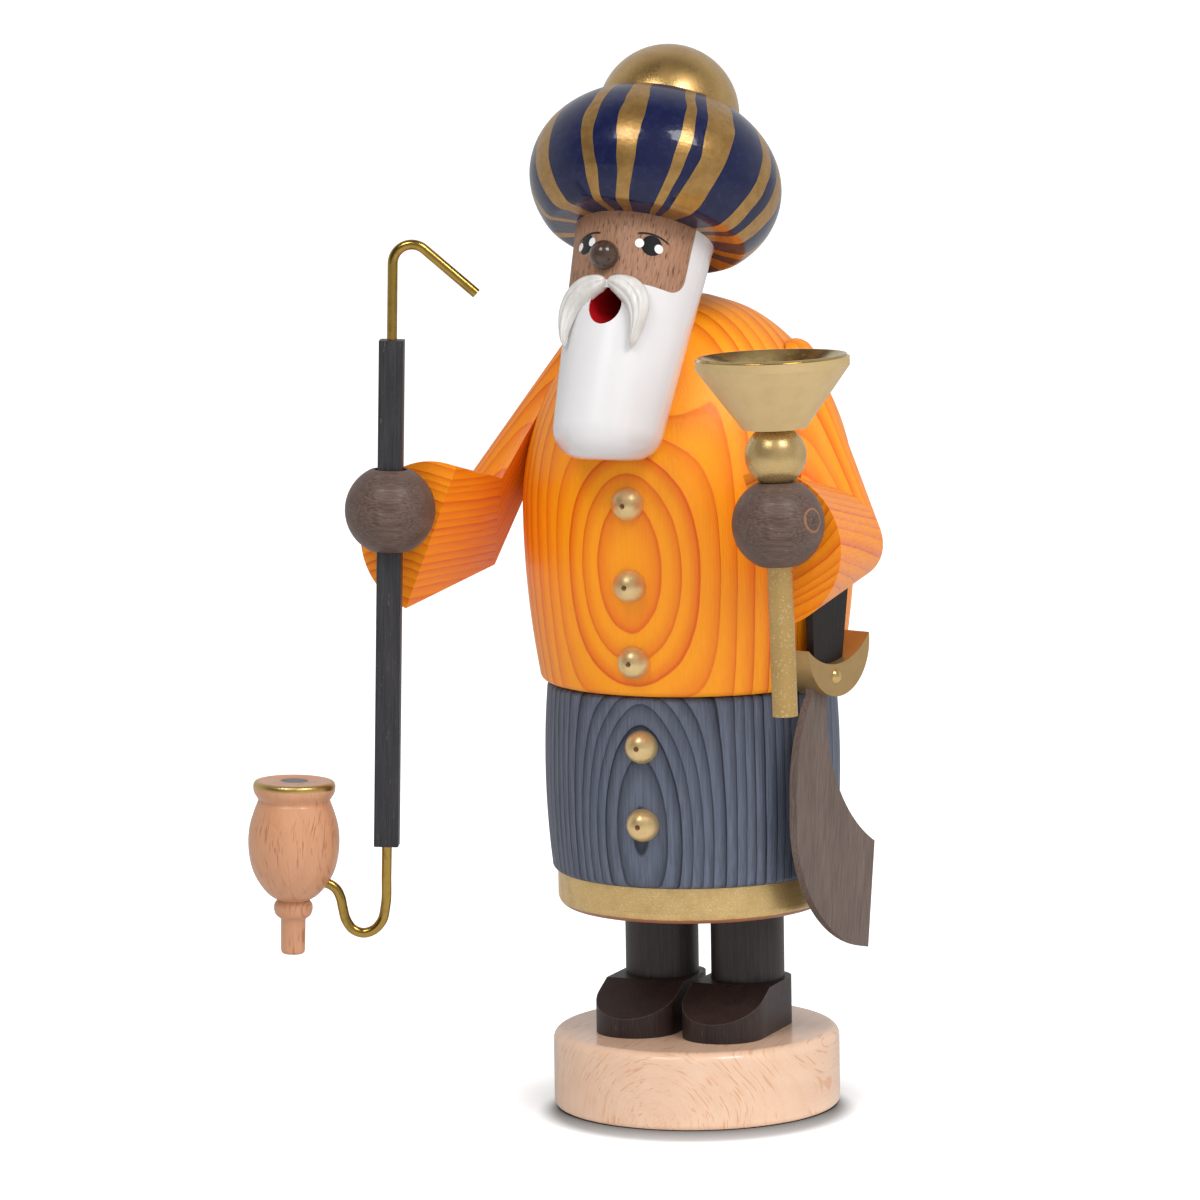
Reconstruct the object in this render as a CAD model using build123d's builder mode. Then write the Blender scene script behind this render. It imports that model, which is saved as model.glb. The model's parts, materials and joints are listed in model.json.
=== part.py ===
from build123d import *
from math import cos, hypot, radians, sin, sqrt
import os

os.makedirs("parts", exist_ok=True)

# Turned wooden incense smoker, in millimetres. The figure faces -Y, +X is its left hand side, and the
# origin is under the middle of the plinth.

# Plinth
plinth_radius = 28.0
plinth_height = 15.0
plinth_top_round = 2.0
plinth_foot_round = 1.0

# Boots and legs
boot_width = 16.2
boot_height = 9.4
boot_heel_length = 7.6
boot_heel_round = 6.0
boot_sole_length = 29.0
boot_instep_length = 16.8
boot_toe_height = 3.8
leg_radius = 7.2
leg_length = 15.4
leg_spread = 9.0
leg_setback = 5.0
tenon_radius = 4.0
tenon_depth = 5.0
tenon_end_gap = 0.3

# Hem and skirt
hem_radius = 26.6
hem_height = 7.1
hem_round = 2.2
skirt_height = 37.1
skirt_foot_radius = 27.6
skirt_belly_radius = 28.7
skirt_top_radius = 28.1
skirt_edge_round = 1.3

# Spigot, incense plate and air channel
spigot_radius = 16.5
spigot_height = 9.0
spigot_chamfer = 0.8
spigot_clearance = 0.08
spigot_end_gap = 0.4
seam_gap = 0.2
plate_radius = 7.2
plate_thickness = 0.6
tack_head_radius = 1.6
tack_head_height = 0.7
tack_shank_radius = 0.6
tack_length = 6.0
air_bore_radius = 3.8
air_bore_setback = 11.2

# Coat and the smoke chamber in it
coat_radius = 32.25
coat_edge_draw_in = 2.85
coat_edge_round = 1.6
coat_side_height = 33.8
dome_rise = 40.8
chamber_radius = 14.6
chamber_height = 45.0
smoke_bore_radius = 2.6

# Buttons
button_radius = 3.2
button_dimple_radius = 0.55
button_peg_radius = 1.2
button_peg_length = 4.0
coat_button_heights = (37.3, 21.7, 6.9)
skirt_button_heights = (27.7, 12.6)
coat_button_turn = 0.4
skirt_button_turn = 1.7

# Head, beard and turban, turned on one axis that leans back and is set round the coat a little
head_tilt = 27.0
head_set = 3.0
head_turn = 3.5
head_standoff = 6.4
head_height = 31.3
head_radius = 13.3
beard_radius = 11.0
beard_drop = 13.8
beard_end_tilt = 21.0
beard_end_round = 5.6
crown_tenon_radius = 5.0
turban_radius = 24.2
turban_rise = 18.1
turban_underside = 11.4
turban_crown = 14.0
turban_lip_round = 2.6
knob_radius = 13.6
knob_tenon_depth = 5.0

# Face
mouth_height = 12.6
mouth_side = 0.9
mouth_radius = 3.3
mouth_depth = 14.0
mouth_lead_in = 5.0
nose_height = 22.1
nose_radius = 2.8
nose_proud = 1.2
moustache_thickness = 2.8
moustache_root = (0.25, 3.6)
moustache_crest = (3.0, 5.9)
moustache_shoulder = (7.2, 3.6)
moustache_outside = (9.45, -0.6)
moustache_tip = (7.6, -7.8)
moustache_inside = (5.2, -0.9)

# Arms: one long split cone each, cut at the elbow and turned over there to bend it
arm_slope = 20.7
arm_bedding = 2.4
elbow_forward = 13.3
elbow_drop = 22.2
upper_arm_lean = 23.8
upper_arm_length = 35.9
shoulder_radius = 3.9
forearm_rise = 3.4
forearm_length = 33.7
cuff_radius = 14.5
dowel_radius = 2.0
shoulder_dowel_in_coat = 7.0
shoulder_dowel_in_arm = 4.0
hand_dowel_in_arm = 8.0
hand_dowel_in_hand = 2.8

# Hands: beads with the pipe or the torch through them
hand_radius = 8.55
hand_half_height = 7.7
hand_bedding = 1.4
hand_lift = 3.3
hand_out_right = 7.0
hand_out_left = 6.45

# Pipe
pipe_lean = 1.75
pipe_turn = 18.8
stem_width = 4.6
stem_edge_round = 0.4
stem_above_hand = 32.1
stem_below_hand = 64.0
stem_clearance = 0.08
wire_radius = 0.95
wire_seat = 7.0
wire_end_gap = 0.3
mouthpiece_corner_height = 22.0
mouthpiece_reach = 15.8
mouthpiece_end_height = 9.0
mouthpiece_bend = 3.6
bowl_wire_drop = 18.0
bowl_wire_span = 8.2
bowl_wire_entry = 7.6
bowl_wire_loop = 4.0
bowl_wire_bend = 2.6
bowl_wire_in_bowl = 3.4

# Pipe bowl, measured down from its top
bowl_reach = 17.7
bowl_entry_depth = 19.6
bowl_rim_radius = 7.8
bowl_rim_height = 3.2
bowl_rim_round = 0.8
bowl_neck_radius = 7.0
bowl_belly_radius = 8.7
bowl_belly_depth = 10.7
bowl_foot_radius = 3.0
bowl_foot_depth = 22.9
bowl_bead_radius = 3.7
bowl_bead_height = 3.6
bowl_peg_radius = 2.35
bowl_peg_length = 6.8
bowl_plug_radius = 2.6
bowl_plug_depth = 6.0

# Torch
torch_lean = 1.5
torch_rod_radius = 2.35
torch_rod_below_hand = 35.6
torch_rod_in_cup = 4.0
torch_ball_radius = 5.7
torch_ball_height = 9.9
cup_height = 12.9
cup_foot_radius = 5.9
cup_rim_radius = 14.2
cup_rim_band = 1.6
insert_radius = 13.7
insert_dish_depth = 1.9
insert_wall = 0.5
candle_radius = 8.6
candle_depth = 4.8

# Sabre, measured on its own flat: forward is negative, and heights count from the coat's lower edge
sabre_turn = 74.5
sabre_coat_gap = 0.15
blade_thickness = 1.6
blade_tang_height = 1.9
blade_shoulder_front = (-6.9, 0.0)
blade_upper_edge = (-11.3, -9.4)
blade_belly = (-12.5, -20.9)
blade_lower_edge = (-7.2, -40.6)
blade_tip = (10.5, -51.7)
blade_back_corner = (13.0, -31.2)
blade_back_edge = (1.8, -20.0)
blade_shoulder_back = (-2.1, -0.7)
grip_height = 28.0
grip_foot = 4.0
grip_foot_front = -6.2
grip_foot_back = 2.6
grip_top_front = -7.2
grip_top_back = 6.4
grip_top_round = 2.5
guard_back_reach = 3.4
guard_face_reach = 2.0
guard_front_tip = (-10.8, 8.8)
guard_keel = (-1.4, -1.0)
guard_back_tip = (9.0, 10.2)
guard_hollow = (-1.2, 5.3)
nail_head_radius = 1.4
nail_head_height = 0.8
nail_shank_radius = 0.6
nail_length = 10.0
nail_place = (-1.8, 2.9)

# Heights of the stack, and the coat's drawn-in lower edge
boot_top = plinth_height + boot_height
hem_bottom = boot_top + leg_length
skirt_bottom = hem_bottom + hem_height
skirt_top = skirt_bottom + skirt_height
spigot_top = skirt_top + spigot_height
coat_bottom = skirt_top + seam_gap
coat_edge_radius = coat_radius - coat_edge_draw_in
dome_level = coat_bottom + coat_side_height
chamber_top = coat_bottom + chamber_height

# The dome's profile, a quarter ellipse from its widest level to its top
dome_points = [
    (coat_radius * cos(radians(angle)), dome_level + dome_rise * sin(radians(angle)))
    for angle in range(0, 91, 10)
]


def keep(builder, name):
    """Label a finished piece and write it to its own file."""
    builder.part.label = name
    export_step(builder.part, f"parts/{name}.step")


def dome_touch(normal):
    """The point of the coat's dome whose outward unit normal is the one given."""
    spread = hypot(coat_radius * hypot(normal.X, normal.Y), dome_rise * normal.Z)
    side = coat_radius**2 / spread
    return Vector(side * normal.X, side * normal.Y, dome_level + dome_rise**2 * normal.Z / spread)


def round_bar(start, direction, radius, length):
    """A round bar from a point along a direction, used as a dowel and as the cutter for its hole."""
    with BuildPart() as bar:
        with BuildSketch(Plane(origin=start, z_dir=direction)):
            Circle(radius)
        extrude(amount=length)
    return bar


def coat_form():
    """The coat's outer form, which its buttons, arms, head and sabre are bedded on."""
    with BuildPart() as form:
        with BuildSketch(Plane.XZ):
            with BuildLine():
                Line((0, coat_bottom), (coat_edge_radius - coat_edge_round, coat_bottom))
                TangentArc(
                    (coat_edge_radius - coat_edge_round, coat_bottom),
                    (coat_edge_radius, coat_bottom + coat_edge_round),
                    tangent=(1, 0),
                )
                TangentArc(
                    (coat_radius, dome_level),
                    (coat_edge_radius, coat_bottom + coat_edge_round),
                    tangent=(0, -1),
                )
                Spline(*dome_points, tangents=((0, 1), (-1, 0)))
                Line((0, dome_level + dome_rise), (0, coat_bottom))
            make_face()
        revolve(axis=Axis.Z)
    return form


def skirt_form():
    """The skirt's outer form, with the spigot on top."""
    with BuildPart() as form:
        with BuildSketch(Plane.XZ):
            with BuildLine():
                Line((0, skirt_bottom), (skirt_foot_radius - skirt_edge_round, skirt_bottom))
                TangentArc(
                    (skirt_foot_radius - skirt_edge_round, skirt_bottom),
                    (skirt_foot_radius, skirt_bottom + skirt_edge_round),
                    tangent=(1, 0),
                )
                ThreePointArc(
                    (skirt_foot_radius, skirt_bottom + skirt_edge_round),
                    (skirt_belly_radius, (skirt_bottom + skirt_top) / 2),
                    (skirt_top_radius, skirt_top - skirt_edge_round),
                )
                TangentArc(
                    (skirt_top_radius - skirt_edge_round, skirt_top),
                    (skirt_top_radius, skirt_top - skirt_edge_round),
                    tangent=(1, 0),
                )
                Polyline(
                    (skirt_top_radius - skirt_edge_round, skirt_top),
                    (spigot_radius, skirt_top),
                    (spigot_radius, spigot_top - spigot_chamfer),
                    (spigot_radius - spigot_chamfer, spigot_top),
                    (0, spigot_top),
                    (0, skirt_bottom),
                )
            make_face()
        revolve(axis=Axis.Z)
    return form


def front_normal(turn):
    """The level direction that looks straight ahead, turned towards the figure's left."""
    return Vector(sin(radians(turn)), -cos(radians(turn)), 0)


# Head frame: its axis leans back, and the face is turned a little about that axis
upright = Vector(0, 0, 1)
head_front = front_normal(-head_set)
head_side = upright.cross(head_front)
head_up = upright * cos(radians(head_tilt)) - head_front * sin(radians(head_tilt))
head_out = head_front * cos(radians(head_tilt)) + upright * sin(radians(head_tilt))
head_origin = dome_touch(head_out) + head_out * head_standoff
head_axis = Axis(head_origin, head_up)
head_section = Plane(origin=head_origin, x_dir=head_side, z_dir=head_out)
face_out = head_out * cos(radians(head_turn)) - head_side * sin(radians(head_turn))
face_left = head_side * cos(radians(head_turn)) + head_out * sin(radians(head_turn))
turban_height = head_height + turban_underside
knob_height = turban_height + turban_crown

# The beard's lower end, a cut that is nearly level
beard_end_up = head_up * cos(radians(beard_end_tilt)) + head_out * sin(radians(beard_end_tilt))
beard_end = Plane(origin=head_origin - head_up * beard_drop, z_dir=beard_end_up)


def head_point(height, reach):
    """A point over the middle of the face: a height up the head's axis and a distance from it."""
    return head_origin + head_up * height + face_out * reach


def cheek_radius(height):
    """Radius of the head's tapered side at a height up its axis."""
    return beard_radius + (head_radius - beard_radius) * height / head_height


def head_form():
    """The head's outer form, head and beard in one, without its bores."""
    spare = beard_drop + head_radius
    with BuildPart() as form:
        with BuildSketch(head_section):
            with BuildLine():
                Polyline(
                    (0, head_height),
                    (head_radius, head_height),
                    (cheek_radius(-spare), -spare),
                    (0, -spare),
                    close=True,
                )
            make_face()
        revolve(axis=head_axis)
        split(bisect_by=beard_end, keep=Keep.TOP)
        fillet(form.faces().sort_by(head_axis)[0].edges(), beard_end_round)
    return form


# Smoke path: level in from the mouth, then down through the head and the dome into the chamber
mouth_inward = Vector(-face_out.X, -face_out.Y, 0).normalized()
mouth_middle = head_point(mouth_height, cheek_radius(mouth_height)) + face_left * mouth_side
mouth_start = mouth_middle - mouth_inward * mouth_lead_in
mouth_end = mouth_start + mouth_inward * (mouth_lead_in + mouth_depth)
smoke_start = mouth_end - mouth_inward * smoke_bore_radius
smoke_run = Vector(0, 0, chamber_top) - smoke_start
mouth_bore = round_bar(mouth_start, mouth_inward, mouth_radius, (mouth_end - mouth_start).length)
smoke_bore = round_bar(smoke_start, smoke_run, smoke_bore_radius, smoke_run.length)
crown_tenon = round_bar(
    head_origin + head_up * head_height,
    head_up,
    crown_tenon_radius,
    knob_height + knob_tenon_depth - head_height,
)

# Plinth and its two tenon holes
leg_places = {side: (sign * leg_spread, leg_setback) for side, sign in (("right", -1), ("left", 1))}
with BuildPart() as base_plinth:
    Cylinder(plinth_radius, plinth_height, align=(Align.CENTER, Align.CENTER, Align.MIN))
    fillet(base_plinth.edges().group_by(Axis.Z)[-1], plinth_top_round)
    fillet(base_plinth.edges().group_by(Axis.Z)[0], plinth_foot_round)
    with BuildSketch(Plane.XY.offset(plinth_height)):
        with Locations(*leg_places.values()):
            Circle(tenon_radius)
    extrude(amount=-tenon_depth - tenon_end_gap, mode=Mode.SUBTRACT)
keep(base_plinth, "base_plinth")


def make_boot(place):
    """A boot: flat sole, round toe and heel, flat top and a plane cut that slopes over the instep."""
    x, y = place
    half = boot_width / 2
    heel = y + boot_heel_length
    toe_start = heel - boot_sole_length + half
    instep = heel - boot_instep_length
    toe = heel - boot_sole_length
    with BuildPart() as boot:
        with BuildSketch(Plane.XY.offset(plinth_height)) as sole:
            with BuildLine():
                Polyline((x - half, toe_start), (x - half, heel), (x + half, heel), (x + half, toe_start))
                ThreePointArc((x + half, toe_start), (x, toe), (x - half, toe_start))
            make_face()
            fillet(sole.vertices().group_by(Axis.Y)[-1], boot_heel_round)
        extrude(amount=boot_height)
        slope = Plane(
            origin=(x, instep, boot_top),
            z_dir=(0, boot_toe_height - boot_height, instep - toe),
        )
        split(bisect_by=slope, keep=Keep.BOTTOM)
        with BuildSketch(Plane.XY.offset(plinth_height)):
            with Locations(place):
                Circle(tenon_radius)
        extrude(amount=boot_height, mode=Mode.SUBTRACT)
    return boot


def make_leg(place):
    """A turned leg with a tenon at each end; the lower one passes through the boot into the plinth."""
    with BuildPart() as leg:
        with BuildSketch(Plane.XY.offset(boot_top)):
            with Locations(place):
                Circle(leg_radius)
        extrude(amount=leg_length)
        with BuildSketch(Plane.XY.offset(plinth_height - tenon_depth)):
            with Locations(place):
                Circle(tenon_radius)
        extrude(amount=tenon_depth + boot_height + leg_length + tenon_depth)
    return leg


for side_name, leg_place in leg_places.items():
    keep(make_boot(leg_place), f"boot_{side_name}")
    keep(make_leg(leg_place), f"leg_{side_name}")

# Hem disc, with the leg tenons' holes and the air channel's inlet
with BuildPart() as hem_disc:
    with BuildSketch(Plane.XY.offset(hem_bottom)):
        Circle(hem_radius)
    extrude(amount=hem_height)
    fillet(hem_disc.edges().group_by(Axis.Z)[0], hem_round)
    with BuildSketch(Plane.XY.offset(hem_bottom)):
        with Locations(*leg_places.values()):
            Circle(tenon_radius)
    extrude(amount=tenon_depth + tenon_end_gap, mode=Mode.SUBTRACT)
    with BuildSketch(Plane.XY.offset(hem_bottom)):
        with Locations((0, air_bore_setback)):
            Circle(air_bore_radius)
    extrude(amount=hem_height, mode=Mode.SUBTRACT)
keep(hem_disc, "hem_disc")


def skirt_front(height):
    """Radius of the skirt's side at a height, on the arc through its foot, belly and top."""
    low = skirt_bottom + skirt_edge_round
    high = skirt_top - skirt_edge_round
    t = (height - low) / (high - low)
    foot_share = (1 - t) * (1 - 2 * t)
    belly_share = 4 * t * (1 - t)
    top_share = t * (2 * t - 1)
    return skirt_foot_radius * foot_share + skirt_belly_radius * belly_share + skirt_top_radius * top_share


def coat_front(height):
    """Radius of the coat below or above its widest level, by its side's arc or its dome's ellipse."""
    rise = height - dome_level
    if rise > 0:
        return coat_radius * sqrt(1 - (rise / dome_rise) ** 2)
    run = coat_side_height - coat_edge_round
    arc_radius = (run**2 + coat_edge_draw_in**2) / (2 * coat_edge_draw_in)
    return coat_radius - arc_radius + sqrt(arc_radius**2 - rise**2)


def button_seat(turn, height, radius):
    """The point of a body's side where a button sits."""
    return front_normal(turn) * radius + Vector(0, 0, height)


def make_button(turn, seat, body):
    """A half-ball button with a centre dimple and a peg, bedded on the body's round side."""
    outward = front_normal(turn)
    form = body()
    peg = button_peg(turn, seat)
    with BuildPart() as button:
        with Locations(Plane(origin=seat, z_dir=outward)):
            Sphere(button_radius)
        add(form.part, mode=Mode.SUBTRACT)
        with Locations(seat + outward * button_radius):
            Sphere(button_dimple_radius, mode=Mode.SUBTRACT)
        add(peg.part)
    return button


def button_peg(turn, seat):
    """A button's peg, from inside its half ball into the body; also the cutter for the peg's hole."""
    inward = front_normal(turn) * -1
    start = seat - inward * button_peg_radius
    return round_bar(start, inward, button_peg_radius, button_peg_radius + button_peg_length)


skirt_button_seats = [
    button_seat(skirt_button_turn, skirt_bottom + height, skirt_front(skirt_bottom + height))
    for height in skirt_button_heights
]
coat_button_seats = [
    button_seat(coat_button_turn, coat_bottom + height, coat_front(coat_bottom + height))
    for height in coat_button_heights
]

# Skirt: the form with its air channel and the button holes
skirt_block = skirt_form()
skirt_pegs = [button_peg(skirt_button_turn, seat) for seat in skirt_button_seats]
with BuildPart() as skirt:
    add(skirt_block.part)
    with BuildSketch(Plane.XY.offset(skirt_bottom)):
        with Locations((0, air_bore_setback)):
            Circle(air_bore_radius)
    extrude(amount=skirt_height + spigot_height, mode=Mode.SUBTRACT)
    with BuildSketch(Plane.XY.offset(spigot_top)):
        Circle(tack_shank_radius)
    extrude(amount=-tack_length, mode=Mode.SUBTRACT)
    for peg in skirt_pegs:
        add(peg.part, mode=Mode.SUBTRACT)
keep(skirt, "skirt")

for number, seat in enumerate(skirt_button_seats, start=1):
    keep(make_button(skirt_button_turn, seat, skirt_form), f"skirt_button_{number}")

# Incense plate and the tack through its middle
with BuildPart() as ember_plate:
    with BuildSketch(Plane.XY.offset(spigot_top)):
        Circle(plate_radius)
        Circle(tack_shank_radius, mode=Mode.SUBTRACT)
    extrude(amount=plate_thickness)
keep(ember_plate, "ember_plate")

with BuildPart() as plate_tack:
    with BuildSketch(Plane.XY.offset(spigot_top - tack_length)):
        Circle(tack_shank_radius)
    extrude(amount=tack_length + plate_thickness)
    with BuildSketch(Plane.XY.offset(spigot_top + plate_thickness)):
        Circle(tack_head_radius)
    extrude(amount=tack_head_height)
keep(plate_tack, "plate_tack")


# The cone loses the same width along both halves of an arm
arm_taper = (cuff_radius - shoulder_radius) / (forearm_length + upper_arm_length)
elbow_radius = cuff_radius - arm_taper * forearm_length


class Arm:
    """The lines and planes of one arm, from the place where its flat side meets the coat's dome."""

    def __init__(self, sign, hand_out):
        slope, rise, lean = radians(arm_slope), radians(forearm_rise), radians(upper_arm_lean)
        ahead = Vector(0, -1, 0)
        up = Vector(-sign * sin(slope), 0, cos(slope))
        self.flat = Vector(sign * cos(slope), 0, sin(slope))
        touch = dome_touch(self.flat) - self.flat * arm_bedding
        self.elbow = touch + ahead * elbow_forward - up * elbow_drop
        self.onward = ahead * cos(rise) + up * sin(rise)
        self.upward = up * cos(lean) - ahead * sin(lean)
        self.mitre = Plane(origin=self.elbow, z_dir=self.onward - self.upward)
        self.cuff = self.elbow + self.onward * forearm_length
        self.upper_elbow = self.elbow + (self.onward + self.upward).normalized() * self.mitre_shift()
        self.shoulder = self.upper_elbow + self.upward * upper_arm_length
        cuff_up = up * cos(rise) - ahead * sin(rise)
        self.hand_seat = self.cuff + self.flat * hand_out + cuff_up * hand_lift
        self.hand = self.hand_seat + self.onward * (hand_radius - hand_bedding)
        dowel_climb = (touch - self.upper_elbow).dot(up) / self.upward.dot(up)
        dowel_place = self.upper_elbow + self.upward * dowel_climb
        self.shoulder_dowel = round_bar(
            dowel_place - self.flat * shoulder_dowel_in_coat,
            self.flat,
            dowel_radius,
            shoulder_dowel_in_coat + shoulder_dowel_in_arm,
        )
        self.hand_dowel = round_bar(
            self.hand_seat - self.onward * hand_dowel_in_arm,
            self.onward,
            dowel_radius,
            hand_dowel_in_arm + hand_dowel_in_hand,
        )

    def mitre_shift(self):
        """How far the upper half's axis lies from the lower one's along the cut, for ends that match."""
        half_bend = radians(self.onward.get_angle(self.upward) / 2)
        across, along = sin(half_bend), arm_taper * cos(half_bend)
        return 2 * elbow_radius * along / (across**2 - along**2)


def make_upper_arm(arm):
    """The upper half of the split cone, round at the shoulder and bedded on the coat."""
    spare = 2 * elbow_radius
    coat_block = coat_form()
    with BuildPart() as upper_arm:
        with BuildSketch(Plane(origin=arm.upper_elbow - arm.upward * spare, z_dir=arm.upward)):
            Circle(elbow_radius + arm_taper * spare)
        with BuildSketch(Plane(origin=arm.shoulder, z_dir=arm.upward)):
            Circle(shoulder_radius)
        loft(ruled=True)
        with Locations(arm.shoulder):
            Sphere(shoulder_radius)
        split(bisect_by=Plane(origin=arm.elbow, z_dir=arm.flat), keep=Keep.TOP)
        split(bisect_by=arm.mitre, keep=Keep.BOTTOM)
        add(coat_block.part, mode=Mode.SUBTRACT)
        add(arm.shoulder_dowel.part, mode=Mode.SUBTRACT)
    return upper_arm


def make_forearm(arm):
    """The lower half of the split cone, from the elbow to the wide cuff."""
    spare = 2 * elbow_radius
    with BuildPart() as forearm:
        with BuildSketch(Plane(origin=arm.elbow - arm.onward * spare, z_dir=arm.onward)):
            Circle(elbow_radius - arm_taper * spare)
        with BuildSketch(Plane(origin=arm.cuff, z_dir=arm.onward)):
            Circle(cuff_radius)
        loft(ruled=True)
        split(bisect_by=Plane(origin=arm.elbow, z_dir=arm.flat), keep=Keep.TOP)
        split(bisect_by=arm.mitre, keep=Keep.TOP)
        add(arm.hand_dowel.part, mode=Mode.SUBTRACT)
    return forearm


def make_hand(arm, bore_frame, bore_radius):
    """A bead with flats at its bore's ends and a flat where it is glued to the cuff."""
    with BuildPart() as hand:
        with Locations(bore_frame):
            Sphere(hand_radius)
        split(bisect_by=bore_frame.offset(hand_half_height), keep=Keep.BOTTOM)
        split(bisect_by=bore_frame.offset(-hand_half_height), keep=Keep.TOP)
        split(bisect_by=Plane(origin=arm.hand_seat, z_dir=arm.onward), keep=Keep.TOP)
        with Locations(bore_frame):
            Cylinder(bore_radius, 2 * hand_half_height, mode=Mode.SUBTRACT)
        add(arm.hand_dowel.part, mode=Mode.SUBTRACT)
    return hand


right_arm = Arm(-1, hand_out_right)
left_arm = Arm(1, hand_out_left)

# Pipe frame at the right hand: its plane runs towards the mouth, and its stem leans that way
pipe_ahead = Vector(cos(radians(pipe_turn)), sin(radians(pipe_turn)), 0)
pipe_up = upright * cos(radians(pipe_lean)) + pipe_ahead * sin(radians(pipe_lean))
pipe_side = pipe_ahead * cos(radians(pipe_lean)) - upright * sin(radians(pipe_lean))
pipe_upright = Plane(origin=right_arm.hand, x_dir=pipe_side, z_dir=pipe_up)
pipe_section = Plane(origin=right_arm.hand, x_dir=pipe_side, z_dir=pipe_side.cross(pipe_up))
stem_reach = (stem_width / 2 - stem_edge_round) * sqrt(2) + stem_edge_round

# Torch frame at the left hand
torch_up = Vector(-sin(radians(torch_lean)), 0, cos(radians(torch_lean)))
torch_side = Vector(cos(radians(torch_lean)), 0, sin(radians(torch_lean)))
torch_upright = Plane(origin=left_arm.hand, x_dir=torch_side, z_dir=torch_up)
torch_section = Plane(origin=left_arm.hand, x_dir=torch_side, z_dir=(0, -1, 0))
torch_axis = Axis(left_arm.hand, torch_up)

keep(make_upper_arm(right_arm), "upper_arm_right")
keep(make_forearm(right_arm), "forearm_right")
keep(make_hand(right_arm, pipe_upright, stem_reach + stem_clearance), "hand_right")
keep(right_arm.shoulder_dowel, "shoulder_dowel_right")
keep(right_arm.hand_dowel, "hand_dowel_right")
keep(make_upper_arm(left_arm), "upper_arm_left")
keep(make_forearm(left_arm), "forearm_left")
keep(make_hand(left_arm, torch_upright, torch_rod_radius), "hand_left")
keep(left_arm.shoulder_dowel, "shoulder_dowel_left")
keep(left_arm.hand_dowel, "hand_dowel_left")

# Sabre frame: the flat hangs beside the coat, and its normal points out from the coat's axis
sabre_out = Vector(sin(radians(sabre_turn)), -cos(radians(sabre_turn)), 0)
sabre_aft = Vector(cos(radians(sabre_turn)), sin(radians(sabre_turn)), 0)
sabre_origin = sabre_out * (coat_radius + sabre_coat_gap) + Vector(0, 0, coat_bottom)
sabre_plane = Plane(origin=sabre_origin, x_dir=sabre_aft, z_dir=sabre_out)
tang_top = blade_shoulder_front[1] + blade_tang_height

# Blade with its tang, a flat plate
with BuildPart() as sabre_blade:
    with BuildSketch(sabre_plane):
        with BuildLine():
            ThreePointArc(blade_shoulder_front, blade_upper_edge, blade_belly)
            ThreePointArc(blade_belly, blade_lower_edge, blade_tip)
            Line(blade_tip, blade_back_corner)
            ThreePointArc(blade_back_corner, blade_back_edge, blade_shoulder_back)
            Polyline(
                blade_shoulder_back,
                (blade_shoulder_back[0], tang_top),
                (blade_shoulder_front[0], tang_top),
                blade_shoulder_front,
            )
        make_face()
    extrude(amount=blade_thickness)
keep(sabre_blade, "sabre_blade")

# The nail's line through the guard into the coat
nail_foot = sabre_plane.from_local_coords(Vector(*nail_place, blade_thickness + guard_face_reach))
nail_shank = round_bar(nail_foot, sabre_out * -1, nail_shank_radius, nail_length)

# Guard: a crescent block, bedded on the coat, with a slot from below for the tang
guard_bed = coat_form()
with BuildPart() as sabre_guard:
    with BuildSketch(sabre_plane.offset(-guard_back_reach)):
        with BuildLine():
            ThreePointArc(guard_front_tip, guard_keel, guard_back_tip)
            ThreePointArc(guard_back_tip, guard_hollow, guard_front_tip)
        make_face()
    extrude(amount=guard_back_reach + blade_thickness + guard_face_reach)
    add(guard_bed.part, mode=Mode.SUBTRACT)
    add(sabre_blade.part, mode=Mode.SUBTRACT)
    add(nail_shank.part, mode=Mode.SUBTRACT)
keep(sabre_guard, "sabre_guard")

with BuildPart() as guard_nail:
    add(nail_shank.part)
    with BuildSketch(Plane(origin=nail_foot, x_dir=sabre_out, z_dir=sabre_aft)):
        with BuildLine():
            Polyline((nail_head_height, 0), (0, 0), (0, nail_head_radius))
            TangentArc((nail_head_height, 0), (0, nail_head_radius), tangent=(0, 1))
        make_face()
    revolve(axis=Axis(nail_foot, sabre_out))
keep(guard_nail, "guard_nail")

# Grip: a flat plate that stands in the guard's hollow
with BuildPart() as sabre_grip:
    with BuildSketch(sabre_plane) as grip_face:
        with BuildLine():
            Polyline(
                (grip_foot_front, grip_foot),
                (grip_foot_back, grip_foot),
                (grip_top_back, grip_height),
                (grip_top_front, grip_height),
                close=True,
            )
        make_face()
        fillet(grip_face.vertices().group_by(Axis.Y)[-1], grip_top_round)
    extrude(amount=blade_thickness)
    add(sabre_guard.part, mode=Mode.SUBTRACT)
keep(sabre_grip, "sabre_grip")

# Coat: the form with its socket, smoke chamber, smoke bore and the holes of what is fixed to it
coat_block = coat_form()
coat_pegs = [button_peg(coat_button_turn, seat) for seat in coat_button_seats]
with BuildPart() as coat:
    add(coat_block.part)
    with BuildSketch(Plane.XZ):
        with BuildLine():
            Polyline(
                (0, coat_bottom),
                (spigot_radius + spigot_clearance, coat_bottom),
                (spigot_radius + spigot_clearance, spigot_top + spigot_end_gap),
                (chamber_radius, spigot_top + spigot_end_gap),
                (chamber_radius, chamber_top),
                (0, chamber_top),
                close=True,
            )
        make_face()
    revolve(axis=Axis.Z, mode=Mode.SUBTRACT)
    add(smoke_bore.part, mode=Mode.SUBTRACT)
    for arm in (right_arm, left_arm):
        add(arm.shoulder_dowel.part, mode=Mode.SUBTRACT)
    for peg in coat_pegs:
        add(peg.part, mode=Mode.SUBTRACT)
    add(nail_shank.part, mode=Mode.SUBTRACT)
keep(coat, "coat")

for number, seat in enumerate(coat_button_seats, start=1):
    keep(make_button(coat_button_turn, seat, coat_form), f"coat_button_{number}")

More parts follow.
